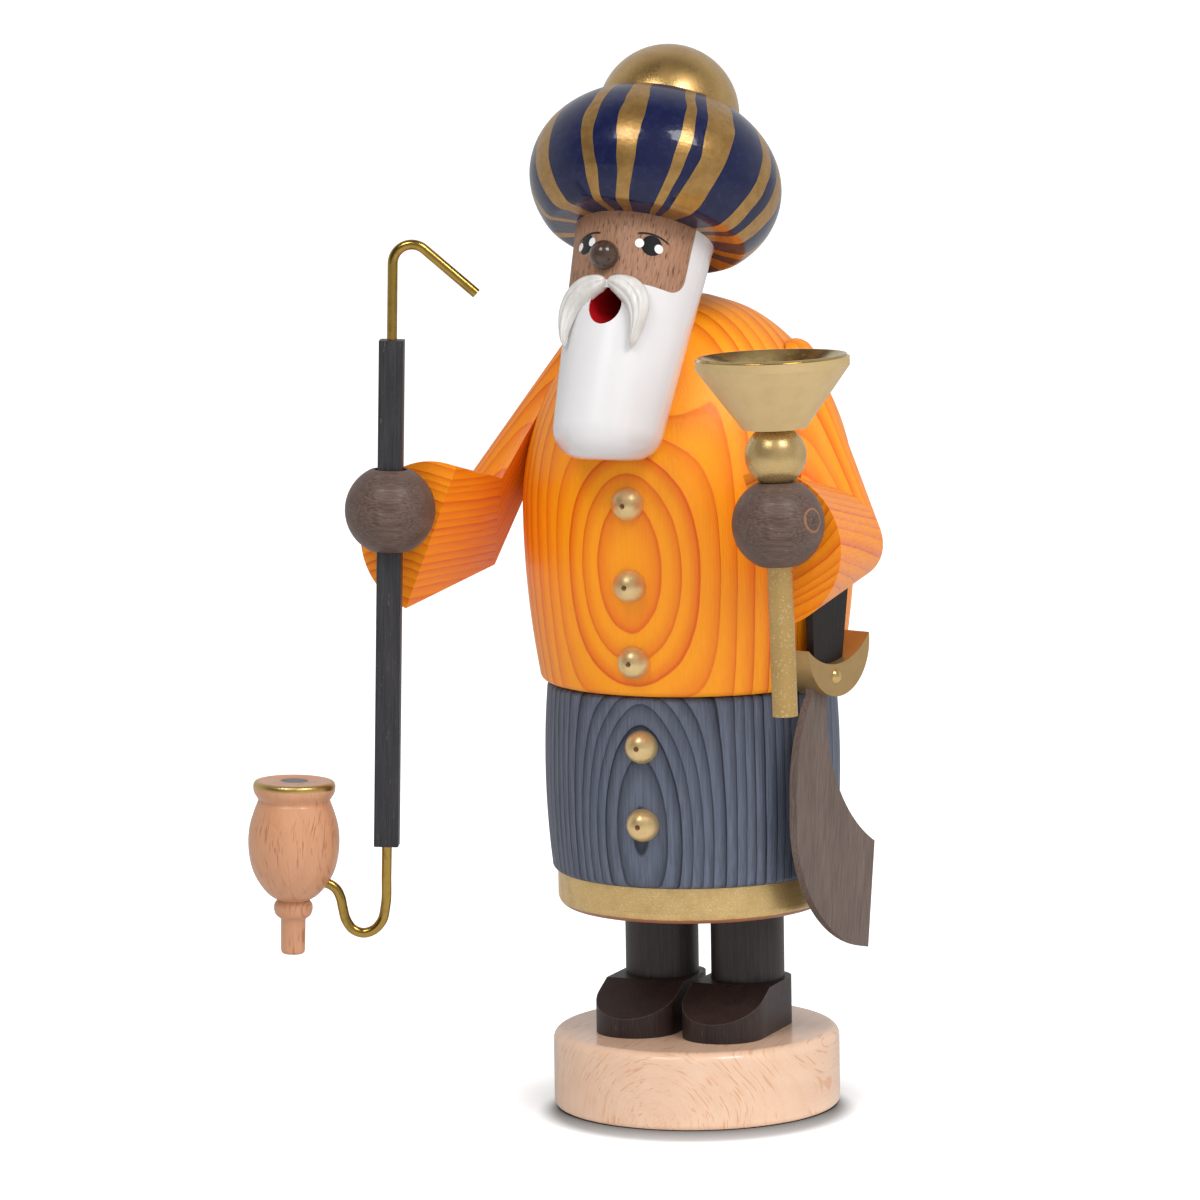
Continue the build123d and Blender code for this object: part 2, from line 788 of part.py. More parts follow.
# Head: the form with the mouth and smoke bores, its back bedded on the coat, and the crown's tenon
head_block = head_form()
head_bed = coat_form()
with BuildPart() as head:
    add(head_block.part)
    add(head_bed.part, mode=Mode.SUBTRACT)
    add(mouth_bore.part, mode=Mode.SUBTRACT)
    add(smoke_bore.part, mode=Mode.SUBTRACT)
    add(crown_tenon.part)
keep(head, "head")

# Turban: a flattened ball, cut flat under the knob and where it sits on the head
turban_origin = head_origin + head_up * turban_height
with BuildPart() as turban:
    with BuildSketch(Plane(origin=turban_origin, x_dir=head_side, z_dir=head_out)) as turban_face:
        Ellipse(turban_radius, turban_rise)
        with Locations((0, -turban_underside)):
            Rectangle(
                turban_radius,
                turban_underside + turban_crown,
                align=(Align.MIN, Align.MIN),
                mode=Mode.INTERSECT,
            )
        lip = turban_face.vertices().group_by(Axis.Y)[0].sort_by(Axis.X)[-1]
        fillet(lip, turban_lip_round)
    revolve(axis=head_axis)
    add(crown_tenon.part, mode=Mode.SUBTRACT)
keep(turban, "turban")

knob_seat = Plane(origin=head_origin + head_up * knob_height, z_dir=head_up)
with BuildPart() as turban_knob:
    with Locations(knob_seat):
        Sphere(knob_radius)
    split(bisect_by=knob_seat, keep=Keep.TOP)
    add(crown_tenon.part, mode=Mode.SUBTRACT)
keep(turban_knob, "turban_knob")

nose_centre = head_point(nose_height, cheek_radius(nose_height) + nose_proud)
nose_bed = head_form()
with BuildPart() as nose:
    with Locations(Plane(origin=nose_centre, z_dir=face_out)):
        Sphere(nose_radius)
    add(nose_bed.part, mode=Mode.SUBTRACT)
keep(nose, "nose")


def make_moustache(sign):
    """Half of the moustache: a comma-shaped piece that follows the round of the face."""
    face = Plane(origin=head_point(mouth_height, 0), x_dir=face_left, z_dir=face_out)
    bed = head_form()

    def at(point):
        return (sign * point[0], point[1])

    with BuildPart() as half:
        with BuildSketch(Plane(origin=head_origin, z_dir=head_up)):
            Circle(beard_radius + moustache_thickness)
        with BuildSketch(Plane(origin=head_origin + head_up * head_height, z_dir=head_up)):
            Circle(head_radius + moustache_thickness)
        loft(ruled=True)
        with BuildSketch(face):
            with BuildLine():
                ThreePointArc(at(moustache_root), at(moustache_crest), at(moustache_shoulder))
                ThreePointArc(at(moustache_shoulder), at(moustache_outside), at(moustache_tip))
                ThreePointArc(at(moustache_tip), at(moustache_inside), at(moustache_root))
            make_face()
        extrude(amount=head_radius + 2 * moustache_thickness, mode=Mode.INTERSECT)
        add(bed.part, mode=Mode.SUBTRACT)
        add(nose.part, mode=Mode.SUBTRACT)
    return half


keep(make_moustache(-1), "moustache_right")
keep(make_moustache(1), "moustache_left")

# Pipe stem: a square bar with a blind hole for a wire at each end
with BuildPart() as pipe_stem:
    with BuildSketch(pipe_upright.offset(-stem_below_hand)) as stem_square:
        Rectangle(stem_width, stem_width)
        fillet(stem_square.vertices(), stem_edge_round)
    extrude(amount=stem_below_hand + stem_above_hand)
    with BuildSketch(pipe_upright.offset(stem_above_hand)):
        Circle(wire_radius)
    extrude(amount=-wire_seat - wire_end_gap, mode=Mode.SUBTRACT)
    with BuildSketch(pipe_upright.offset(-stem_below_hand)):
        Circle(wire_radius)
    extrude(amount=wire_seat + wire_end_gap, mode=Mode.SUBTRACT)
keep(pipe_stem, "pipe_stem")

# Mouthpiece: a wire that rises from the stem and bends over towards the mouth
with BuildPart() as mouthpiece_wire:
    with BuildLine(pipe_section) as mouthpiece_path:
        FilletPolyline(
            (0, stem_above_hand - wire_seat),
            (0, stem_above_hand + mouthpiece_corner_height),
            (mouthpiece_reach, stem_above_hand + mouthpiece_end_height),
            radius=mouthpiece_bend,
        )
    with BuildSketch(Plane(origin=mouthpiece_path.line @ 0, z_dir=mouthpiece_path.line % 0)):
        Circle(wire_radius)
    sweep(path=mouthpiece_path.line)
keep(mouthpiece_wire, "mouthpiece_wire")

# Lower wire: down from the stem, round in a loop, up, and level into the bowl
entry_height = -stem_below_hand - bowl_wire_entry
loop_height = -stem_below_hand - bowl_wire_drop
with BuildPart() as bowl_wire:
    with BuildLine(pipe_section) as bowl_path:
        FilletPolyline(
            (0, -stem_below_hand + wire_seat),
            (0, loop_height),
            (-bowl_wire_span, loop_height),
            (-bowl_wire_span, entry_height),
            (bowl_wire_in_bowl - bowl_reach, entry_height),
            radius=[bowl_wire_loop, bowl_wire_loop, bowl_wire_bend],
        )
    with BuildSketch(Plane(origin=bowl_path.line @ 0, z_dir=bowl_path.line % 0)):
        Circle(wire_radius)
    sweep(path=bowl_path.line)
keep(bowl_wire, "bowl_wire")

# Pipe bowl: rim, neck groove, egg-shaped belly, bead and peg, with holes for the wire and the plug
bowl_top = entry_height + bowl_entry_depth
bowl_centre = right_arm.hand - pipe_side * bowl_reach
bowl_section = Plane(origin=bowl_centre + pipe_up * bowl_top, x_dir=pipe_side, z_dir=pipe_section.z_dir)
bead_end = bowl_foot_depth + bowl_bead_height
with BuildPart() as pipe_bowl:
    with BuildSketch(bowl_section):
        with BuildLine():
            Line((0, 0), (bowl_rim_radius - bowl_rim_round, 0))
            TangentArc(
                (bowl_rim_radius - bowl_rim_round, 0),
                (bowl_rim_radius, -bowl_rim_round),
                tangent=(1, 0),
            )
            Polyline(
                (bowl_rim_radius, -bowl_rim_round),
                (bowl_rim_radius, -bowl_rim_height),
                (bowl_neck_radius, -bowl_rim_height),
            )
            TangentArc(
                (bowl_belly_radius, -bowl_belly_depth),
                (bowl_neck_radius, -bowl_rim_height),
                tangent=(0, 1),
            )
            TangentArc(
                (bowl_belly_radius, -bowl_belly_depth),
                (bowl_foot_radius, -bowl_foot_depth),
                tangent=(0, -1),
            )
            ThreePointArc(
                (bowl_foot_radius, -bowl_foot_depth),
                (bowl_bead_radius, -(bowl_foot_depth + bead_end) / 2),
                (bowl_foot_radius, -bead_end),
            )
            Polyline(
                (bowl_foot_radius, -bead_end),
                (bowl_peg_radius, -bead_end),
                (bowl_peg_radius, -bead_end - bowl_peg_length),
                (0, -bead_end - bowl_peg_length),
                (0, 0),
            )
        make_face()
    revolve(axis=Axis(bowl_centre, pipe_up))
    with BuildSketch(Plane(origin=bowl_section.origin, z_dir=pipe_up)):
        Circle(bowl_plug_radius)
    extrude(amount=-bowl_plug_depth, mode=Mode.SUBTRACT)
    wire_hole = round_bar(bowl_path.line @ 1, pipe_side, wire_radius, bowl_belly_radius)
    add(wire_hole.part, mode=Mode.SUBTRACT)
keep(pipe_bowl, "pipe_bowl")

with BuildPart() as bowl_plug:
    with BuildSketch(Plane(origin=bowl_section.origin, z_dir=pipe_up)):
        Circle(bowl_plug_radius)
    extrude(amount=-bowl_plug_depth)
keep(bowl_plug, "bowl_plug")

# Torch: the rod runs through the hand and the ball into the cup's foot
cup_foot = hand_half_height + torch_ball_height
cup_rim = cup_foot + cup_height
with BuildPart() as torch_rod:
    with BuildSketch(torch_upright.offset(-torch_rod_below_hand)):
        Circle(torch_rod_radius)
    extrude(amount=torch_rod_below_hand + cup_foot + torch_rod_in_cup)
keep(torch_rod, "torch_rod")

ball_middle = hand_half_height + torch_ball_height / 2
with BuildPart() as torch_ball:
    with Locations(torch_upright.offset(ball_middle)):
        Sphere(torch_ball_radius)
    split(bisect_by=torch_upright.offset(hand_half_height), keep=Keep.TOP)
    split(bisect_by=torch_upright.offset(cup_foot), keep=Keep.BOTTOM)
    add(torch_rod.part, mode=Mode.SUBTRACT)
keep(torch_ball, "torch_ball")

# Candle insert: a thin dish with a straight socket in its middle
socket_outside = candle_radius + insert_wall
socket_top = cup_rim - insert_dish_depth
socket_floor = socket_top - candle_depth
with BuildPart() as insert_form:
    with BuildSketch(torch_section):
        Polygon(
            (0, cup_rim + insert_wall),
            (insert_radius, cup_rim + insert_wall),
            (insert_radius, cup_rim),
            (socket_outside, socket_top),
            (socket_outside, socket_floor - insert_wall),
            (0, socket_floor - insert_wall),
            align=None,
        )
    revolve(axis=torch_axis)

with BuildPart() as candle_insert:
    add(insert_form.part)
    with BuildSketch(torch_section):
        Polygon(
            (0, cup_rim + insert_wall),
            (insert_radius - insert_wall, cup_rim + insert_wall),
            (candle_radius, socket_top + insert_wall),
            (candle_radius, socket_floor),
            (0, socket_floor),
            align=None,
        )
    revolve(axis=torch_axis, mode=Mode.SUBTRACT)
keep(candle_insert, "candle_insert")

with BuildPart() as torch_cup:
    with BuildSketch(torch_section):
        Polygon(
            (0, cup_foot),
            (cup_foot_radius, cup_foot),
            (cup_rim_radius, cup_rim - cup_rim_band),
            (cup_rim_radius, cup_rim),
            (0, cup_rim),
            align=None,
        )
    revolve(axis=torch_axis)
    add(insert_form.part, mode=Mode.SUBTRACT)
    add(torch_rod.part, mode=Mode.SUBTRACT)
keep(torch_cup, "torch_cup")
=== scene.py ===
"""Dresses the turned wooden incense smoker: stains, paint, carved and turned pieces, and the studio.

Lengths are millimetres in the figure's own frame, apart from the sizes and places of floor, lamps and
camera, which are metres. Meshes are written in metres.
"""

import json
import logging
import math
from dataclasses import dataclass
from enum import Enum
from functools import reduce
from typing import Any, Mapping, Optional, Sequence, Union

import bpy
import numpy as np
from mathutils import Matrix, Vector

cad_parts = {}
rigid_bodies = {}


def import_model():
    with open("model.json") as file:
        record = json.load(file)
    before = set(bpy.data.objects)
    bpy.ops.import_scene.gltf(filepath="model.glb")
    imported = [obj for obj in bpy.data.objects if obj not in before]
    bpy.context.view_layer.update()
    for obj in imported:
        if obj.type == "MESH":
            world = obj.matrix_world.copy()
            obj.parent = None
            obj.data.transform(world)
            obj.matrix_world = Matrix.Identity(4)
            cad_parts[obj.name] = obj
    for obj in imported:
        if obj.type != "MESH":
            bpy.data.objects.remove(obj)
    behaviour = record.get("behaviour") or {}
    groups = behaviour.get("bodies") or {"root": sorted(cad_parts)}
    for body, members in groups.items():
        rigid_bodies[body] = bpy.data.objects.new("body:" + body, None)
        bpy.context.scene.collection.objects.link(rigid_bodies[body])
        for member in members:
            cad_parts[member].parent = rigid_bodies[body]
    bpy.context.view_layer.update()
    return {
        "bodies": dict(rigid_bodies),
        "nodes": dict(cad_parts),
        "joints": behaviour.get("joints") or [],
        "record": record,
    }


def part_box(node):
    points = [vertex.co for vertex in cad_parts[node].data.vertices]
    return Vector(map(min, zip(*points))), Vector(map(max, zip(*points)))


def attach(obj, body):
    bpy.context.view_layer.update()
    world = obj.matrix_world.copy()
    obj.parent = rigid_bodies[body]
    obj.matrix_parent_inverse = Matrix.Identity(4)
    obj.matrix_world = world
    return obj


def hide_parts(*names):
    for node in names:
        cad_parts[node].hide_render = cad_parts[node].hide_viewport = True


LOG = logging.getLogger("incense_smoker")
METRES = 0.001

Triple = tuple[float, float, float]
Colour = tuple[float, float, float]
Pairs = tuple[tuple[float, float], ...]
Value = Union["Wire", float]
Tint = Union["Wire", Colour]

ORIGIN: Triple = (0.0, 0.0, 0.0)
LEFT: Triple = (1.0, 0.0, 0.0)
BACK: Triple = (0.0, 1.0, 0.0)
FRONT: Triple = (0.0, -1.0, 0.0)
UP: Triple = (0.0, 0.0, 1.0)
DOWN: Triple = (0.0, 0.0, -1.0)
WHITE = (1.0, 1.0, 1.0, 1.0)


class Body(Enum):
    """The bodies that new pieces ride on."""

    FIGURE = "figure"
    PIPE = "pipe"


class Side(Enum):
    """The figure's own right and left, as the sign of its side direction."""

    RIGHT = -1.0
    LEFT = 1.0


class Sum(Enum):
    """Arithmetic that a wire does, by the name that a Math node gives it."""

    ADD = "ADD"
    TAKE = "SUBTRACT"
    TIMES = "MULTIPLY"
    SHARE = "DIVIDE"
    POWER = "POWER"
    ROOT = "SQRT"
    REST = "FRACT"
    WHOLE = "FLOOR"
    AMOUNT = "ABSOLUTE"
    GREATER = "MAXIMUM"
    TURN = "ARCTAN2"


def unit(direction: Sequence[float]) -> np.ndarray:
    """Return a direction at length one."""
    array = np.asarray(direction, dtype=float)
    return array / np.linalg.norm(array)


def triple(array: Sequence[float]) -> Triple:
    """Return three plain floats."""
    return (float(array[0]), float(array[1]), float(array[2]))


class Wire:
    """One output socket of a node, with arithmetic that adds Math nodes."""

    def __init__(self, bench: "Bench", socket: bpy.types.NodeSocket) -> None:
        """Keep the socket and the bench that its nodes are made on."""
        self.bench = bench
        self.socket = socket

    def do(self, kind: Sum, first: Value, second: Value = 0.0) -> "Wire":
        """Return first and second put through one Math node."""
        return self.bench.node("ShaderNodeMath", {"operation": kind.value}, {0: first, 1: second})

    def __add__(self, other: Value) -> "Wire":
        """Return self + other."""
        return self.do(Sum.ADD, self, other)

    def __radd__(self, other: Value) -> "Wire":
        """Return other + self."""
        return self.do(Sum.ADD, other, self)

    def __sub__(self, other: Value) -> "Wire":
        """Return self - other."""
        return self.do(Sum.TAKE, self, other)

    def __rsub__(self, other: Value) -> "Wire":
        """Return other - self."""
        return self.do(Sum.TAKE, other, self)

    def __mul__(self, other: Value) -> "Wire":
        """Return self * other."""
        return self.do(Sum.TIMES, self, other)

    def __rmul__(self, other: Value) -> "Wire":
        """Return other * self."""
        return self.do(Sum.TIMES, other, self)

    def __truediv__(self, other: Value) -> "Wire":
        """Return self / other."""
        return self.do(Sum.SHARE, self, other)

    def __rtruediv__(self, other: Value) -> "Wire":
        """Return other / self."""
        return self.do(Sum.SHARE, other, self)

    def __pow__(self, other: Value) -> "Wire":
        """Return self to the power other."""
        return self.do(Sum.POWER, self, other)

    def root(self) -> "Wire":
        """Return the square root."""
        return self.do(Sum.ROOT, self)

    def rest(self) -> "Wire":
        """Return the part after the whole number."""
        return self.do(Sum.REST, self)

    def whole(self) -> "Wire":
        """Return the whole number below."""
        return self.do(Sum.WHOLE, self)

    def amount(self) -> "Wire":
        """Return the value without its sign."""
        return self.do(Sum.AMOUNT, self)

    def greater(self, other: Value) -> "Wire":
        """Return the larger of the two."""
        return self.do(Sum.GREATER, self, other)

    def span(self, across: "Wire") -> "Wire":
        """Return the root of both squares added, the distance that two square places make."""
        return (self * self + across * across).root()

    def turn(self, across: Value) -> "Wire":
        """Return the angle, in radians, whose tangent is self over across."""
        return self.do(Sum.TURN, self, across)

    def rise(self, low: float, high: float) -> "Wire":
        """Return a soft step from 0 at low to 1 at high."""
        settings = {"interpolation_type": "SMOOTHSTEP", "clamp": True}
        return self.bench.node("ShaderNodeMapRange", settings, {0: self, 1: low, 2: high})

    def fall(self, low: float, high: float) -> "Wire":
        """Return a soft step from 1 at low to 0 at high."""
        return 1.0 - self.rise(low, high)


class Bench:
    """A node tree under work: it makes each node and joins it to the others."""

    def __init__(self, tree: bpy.types.NodeTree) -> None:
        """Clear the tree and keep it."""
        self.tree = tree
        self.tree.nodes.clear()

    def node(
        self,
        kind: str,
        settings: Optional[Mapping[str, Any]] = None,
        sockets: Optional[Mapping[Union[int, str], Any]] = None,
        output: Union[int, str] = 0,
    ) -> Wire:
        """Make one node, set it up and join it to what feeds it.

        Args:
            kind: the node's type.
            settings: its own settings, set first; "stops" gives a ramp's positions and grey levels.
            sockets: a plain value or a wire for each input, by index or name.
            output: the output that the wire takes, by index or name.

        Returns:
            The chosen output as a wire, or the first input of a node that ends a tree.
        """
        made = self.tree.nodes.new(kind)
        for key, value in (settings or {}).items():
            if key == "stops":
                self._stops(made.color_ramp, value)
            else:
                setattr(made, key, value)
        for key, value in (sockets or {}).items():
            if isinstance(value, Wire):
                self.tree.links.new(value.socket, made.inputs[key])
            else:
                made.inputs[key].default_value = value
        return Wire(self, made.outputs[output] if made.outputs else made.inputs[0])

    @staticmethod
    def _stops(ramp: bpy.types.ColorRamp, stops: Sequence[tuple[float, float]]) -> None:
        """Give a ramp hard-edged grey levels.

        Args:
            ramp: the ramp, with the two stops that it starts with.
            stops: the position and the grey level of each stop, in order.
        """
        ramp.interpolation = "CONSTANT"
        for number, (position, grey) in enumerate(stops):
            stop = ramp.elements[number] if number < 2 else ramp.elements.new(position)
            stop.position = position
            stop.color = (grey, grey, grey, 1.0)

    def place(self) -> Wire:
        """Return Object coordinates in millimetres."""
        spot = self.node("ShaderNodeTexCoord", output="Object")
        return self.node("ShaderNodeVectorMath", {"operation": "SCALE"}, {0: spot, "Scale": 1.0 / METRES})

    def vectors(self, kind: str, first: Wire, second: Any, output: Union[int, str] = 0) -> Wire:
        """Return two vectors put through one Vector Math node."""
        return self.node("ShaderNodeVectorMath", {"operation": kind}, {0: first, 1: second}, output)

    def reach(self, spot: Wire, origin: Sequence[float], direction: Sequence[float]) -> Wire:
        """Measure how far a spot lies from an origin along a direction.

        Args:
            spot: the position as a vector wire.
            origin: where the measure starts.
            direction: its unit direction.

        Returns:
            The dot product of spot minus origin with direction.
        """
        gap = self.vectors("SUBTRACT", spot, triple(origin))
        return self.vectors("DOT_PRODUCT", gap, triple(direction), "Value")

    def off_line(self, spot: Wire, point: Sequence[float], axis: Sequence[float]) -> Wire:
        """Measure how far a spot lies from a line.

        Args:
            spot: the position as a vector wire.
            point: a point of the line.
            axis: the line's direction.

        Returns:
            The length of the cross product of spot minus point with the unit direction.
        """
        gap = self.vectors("SUBTRACT", spot, triple(point))
        square = self.vectors("CROSS_PRODUCT", gap, triple(unit(axis)))
        return self.vectors("LENGTH", square, ORIGIN, "Value")

    def vector(self, x: Value, y: Value, z: Value) -> Wire:
        """Return three values as one vector."""
        return self.node("ShaderNodeCombineXYZ", sockets={0: x, 1: y, 2: z})

    def noise(self, spot: Wire, scale: float, detail: float = 2.0, roughness: float = 0.5) -> Wire:
        """Return smooth noise, about 0.5 on the whole, with scale bumps per unit of spot."""
        sockets = {"Vector": spot, "Scale": scale, "Detail": detail, "Roughness": roughness}
        return self.node("ShaderNodeTexNoise", sockets=sockets)

    def chance(self, number: Wire) -> Wire:
        """Return a value from 0 to 1 that is the same wherever the number is the same."""
        return self.node("ShaderNodeTexWhiteNoise", {"noise_dimensions": "1D"}, {"W": number})

    def flakes(self, spot: Wire, count: float) -> Wire:
        """Return a brightness from 0 to 1 for each of many small cells, with count cells per unit of spot."""
        cells = self.node("ShaderNodeTexVoronoi", sockets={"Vector": spot, "Scale": count}, output="Color")
        return self.node("ShaderNodeSeparateColor", sockets={0: cells})

    def mix(self, share: Value, first: Tint, second: Tint) -> Wire:
        """Mix two colours.

        Args:
            share: how much of the second colour is taken.
            first: the colour at share 0.
            second: the colour at share 1.

        Returns:
            The mixed colour.
        """
        return self.node(
            "ShaderNodeMix",
            {"data_type": "RGBA", "clamp_factor": True},
            {0: share, 6: self.tint(first), 7: self.tint(second)},
            2,
        )

    @staticmethod
    def tint(colour: Tint) -> Union[Wire, tuple[float, float, float, float]]:
        """Return a colour with its alpha, or a wire as it is."""
        return colour if isinstance(colour, Wire) else (*colour, 1.0)

    def bump(self, height: Wire, depth: float) -> Wire:
        """Return a normal that rises and falls by depth millimetres as height goes from 0 to 1."""
        sockets = {"Strength": 1.0, "Distance": depth * METRES, "Height": height}
        return self.node("ShaderNodeBump", sockets=sockets)

    def edges(self, width: float) -> Wire:
        """Find the sharp edges, where a normal rounded over some width leaves the true one.

        Args:
            width: how far from an edge the normal is rounded.

        Returns:
            1 on the edges.
        """
        rounded = self.node("ShaderNodeBevel", {"samples": 6}, {"Radius": width * METRES})
        true = self.node("ShaderNodeNewGeometry", output="Normal")
        return self.vectors("DOT_PRODUCT", rounded, true, "Value").fall(0.80, 0.985)

    def light_path(self, ray: str) -> Wire:
        """Return 1 on rays of one kind, by the name of the Light Path output."""
        return self.node("ShaderNodeLightPath", output=ray)

    def seen(self) -> Wire:
        """Return 1 on rays from the camera, straight or through something clear."""
        return self.light_path("Is Camera Ray").greater(self.light_path("Is Transmission Ray"))


class Paintwork(Bench):
    """A bench for one material, with the shader at its end."""

    def __init__(self, name: str) -> None:
        """Start an empty material.

        Args:
            name: the material's name.
        """
        self.material = bpy.data.materials.new(name)
        self.material.use_nodes = True
        super().__init__(self.material.node_tree)

    def coat_with(self, sockets: Mapping[str, Any]) -> bpy.types.Material:
        """Close the material with a Principled shader.

        Args:
            sockets: what goes into the shader, by the names of its inputs.

        Returns:
            The finished material.
        """
        shader = self.node("ShaderNodeBsdfPrincipled", sockets=sockets)
        self.node("ShaderNodeOutputMaterial", sockets={"Surface": shader})
        return self.material


@dataclass(frozen=True)
class Grain:
    """How a piece was cut from its log: a point of the pith, the way of the fibres and the way outwards."""

    pith: Triple
    along: Triple
    outward: Triple

    def axes(self) -> tuple[np.ndarray, np.ndarray, np.ndarray]:
        """Square the directions up, with the fibres' own as it is.

        Returns:
            Unit directions outwards, round the rings and along the fibres.
        """
        along = unit(self.along)
        outward = np.asarray(self.outward, dtype=float)
        outward = unit(outward - (outward @ along) * along)
        return outward, np.cross(along, outward), along

    def measure(self, bench: Bench) -> tuple[Wire, Wire, Wire]:
        """Measure a spot from the pith.

        Args:
            bench: the bench of the material.

        Returns:
            Its places outwards, round the rings and along the fibres.
        """
        spot = bench.place()
        outward, across, along = (bench.reach(spot, self.pith, way) for way in self.axes())
        return outward, across, along


@dataclass(frozen=True)
class RingedWood:
    """Stained softwood with year rings: each goes slowly from light to dark and ends in a sharp line."""

    light: Colour
    dark: Colour
    ring: float
    start: float = 0.0
    bow: float = 0.0
    bow_reach: tuple[float, float] = (8.0, 26.0)
    wander: float = 2.2
    uneven: float = 1.1
    fibre: float = 0.45
    fibre_tone: float = 0.22
    relief: float = 0.10
    roughness: float = 0.44
    lacquer: float = 0.25
    count_from: float = 50.0

    def make(self, name: str, grain: Grain) -> bpy.types.Material:
        """Make the stain for one piece.

        The distance from the pith, with slow drifts added and a bow that grows with the square of the
        place along the fibres and dies away outwards, is counted in rings; the rest after the whole number
        is the place within a ring, and the dark grows with it and drops at the next ring.

        Args:
            name: the material's name.
            grain: how the piece was cut.

        Returns:
            The material.
        """
        work = Paintwork(name)
        outward, across, along = grain.measure(work)
        slow = work.vector(outward, across, along * 0.35)
        drift = work.noise(slow, 0.05, 1.0) - 0.5
        waver = work.noise(slow, 0.30, 2.0) - 0.5
        plain = outward.span(across)
        bowed = along * along * self.bow * plain.fall(*self.bow_reach)
        depth = plain + bowed + drift * (2.0 * self.wander) + waver * 0.35
        pace = work.noise(work.vector(depth, 0.0, 0.0), 0.22, 0.0) - 0.5
        count = (depth - self.start) / self.ring + pace * self.uneven + self.count_from
        spot = count.rest()
        strength = 0.55 + 0.45 * work.chance(count.whole())
        late = spot.rise(0.22, 0.93) * spot.fall(0.94, 1.0)
        line = spot.rise(0.78, 0.95) * spot.fall(0.95, 1.0)
        thread = work.noise(work.vector(outward, across, along * 0.035), 1.0 / self.fibre, 3.0, 0.6)
        thread = thread.rise(0.30, 0.72)
        share = late * strength * 0.62 + line * strength * 0.38
        stain = work.mix(share, self.light, self.dark)
        deep = triple(np.asarray(self.dark) * 0.72)
        stain = work.mix(thread * self.fibre_tone, stain, deep)
        scratch = work.noise(work.vector(outward * 0.10, across * 0.10, along * 2.6), 1.6, 2.0, 0.6)
        height = late * strength * 0.55 + line * 0.25 + thread * 0.22 + scratch * 0.14
        return work.coat_with(
            {
                "Base Color": stain,
                "Roughness": self.roughness + 0.14 * thread - 0.10 * late,
                "Specular IOR Level": 0.28,
                "Coat Weight": self.lacquer,
                "Coat Roughness": 0.30,
                "Normal": work.bump(height, self.relief),
            }
        )


@dataclass(frozen=True)
class FineWood:
    """Close-grained hardwood under a dark stain: fibres, pale pores and, where asked, paler sharp edges."""

    tone: Colour
    deep: Colour
    pore: Colour
    fibre: float = 0.30
    fibre_run: float = 9.0
    pores: float = 0.30
    relief: float = 0.05
    roughness: float = 0.42
    lacquer: float = 0.15
    pale_edges: float = 0.0

    def make(self, name: str, grain: Grain, plug: Optional["Plug"] = None) -> bpy.types.Material:
        """Make the stain for one piece.

        Noise drawn out along the fibres gives dark and light threads, and the tops of a finer one are pores.

        Args:
            name: the material's name.
            grain: how the piece was cut.
            plug: a filled hole that shows as a ring, if the piece has one.

        Returns:
            The material.
        """
        work = Paintwork(name)
        outward, across, along = grain.measure(work)
        ratio = self.fibre / self.fibre_run
        threads = work.vector(outward, across, along * ratio)
        fibre = work.noise(threads, 1.0 / self.fibre, 3.0, 0.6).rise(0.28, 0.74)
        broad = work.noise(work.vector(outward, across, along * 0.2), 0.33, 2.0).rise(0.25, 0.75)
        fleck = work.noise(work.vector(outward, across, along * 0.16), 3.4, 1.0, 0.5)
        fleck = fleck.rise(0.72 - 0.10 * self.pores, 0.80 - 0.06 * self.pores)
        stain = work.mix(fibre * 0.75 + broad * 0.25, self.deep, self.tone)
        stain = work.mix(fleck * self.pores, stain, self.pore)
        # Sharp edges, found where a rounded normal leaves the true one, are mixed towards a paler tone.
        if self.pale_edges > 0.0:
            pale = triple(np.asarray(self.pore) * 1.2)
            stain = work.mix(work.edges(0.22) * self.pale_edges, stain, pale)
        height = fibre * 0.6 - fleck * 0.5
        if plug is not None:
            ring, heart = plug.marks(work)
            stain = work.mix(ring * 0.65, stain, plug.colour)
            stain = work.mix(heart * 0.45, stain, self.deep)
        return work.coat_with(
            {
                "Base Color": stain,
                "Roughness": self.roughness + 0.16 * fibre,
                "Specular IOR Level": 0.28,
                "Coat Weight": self.lacquer,
                "Coat Roughness": 0.28,
                "Normal": work.bump(height, self.relief),
            }
        )


@dataclass(frozen=True)
class Plug:
    """The ring that a filled hole leaves on a bead."""

    centre: Triple
    axis: Triple
    radius: float
    colour: Colour = (0.40, 0.165, 0.085)

    def marks(self, work: Bench) -> tuple[Wire, Wire]:
        """Mark the ring and its heart by distance from the plug's axis, on its own side.

        Args:
            work: the bench of the material.

        Returns:
            Masks of the ring and of its heart.
        """
        spot = work.place()
        wobble = work.noise(spot, 0.9, 1.0) - 0.5
        out = work.off_line(spot, self.centre, self.axis) + wobble * 0.5
        near = work.reach(spot, self.centre, unit(self.axis)).rise(0.0, 1.0)
        ring = (out - self.radius).amount().fall(0.08, 0.30) * near
        return ring, out.fall(0.25, 0.75) * near


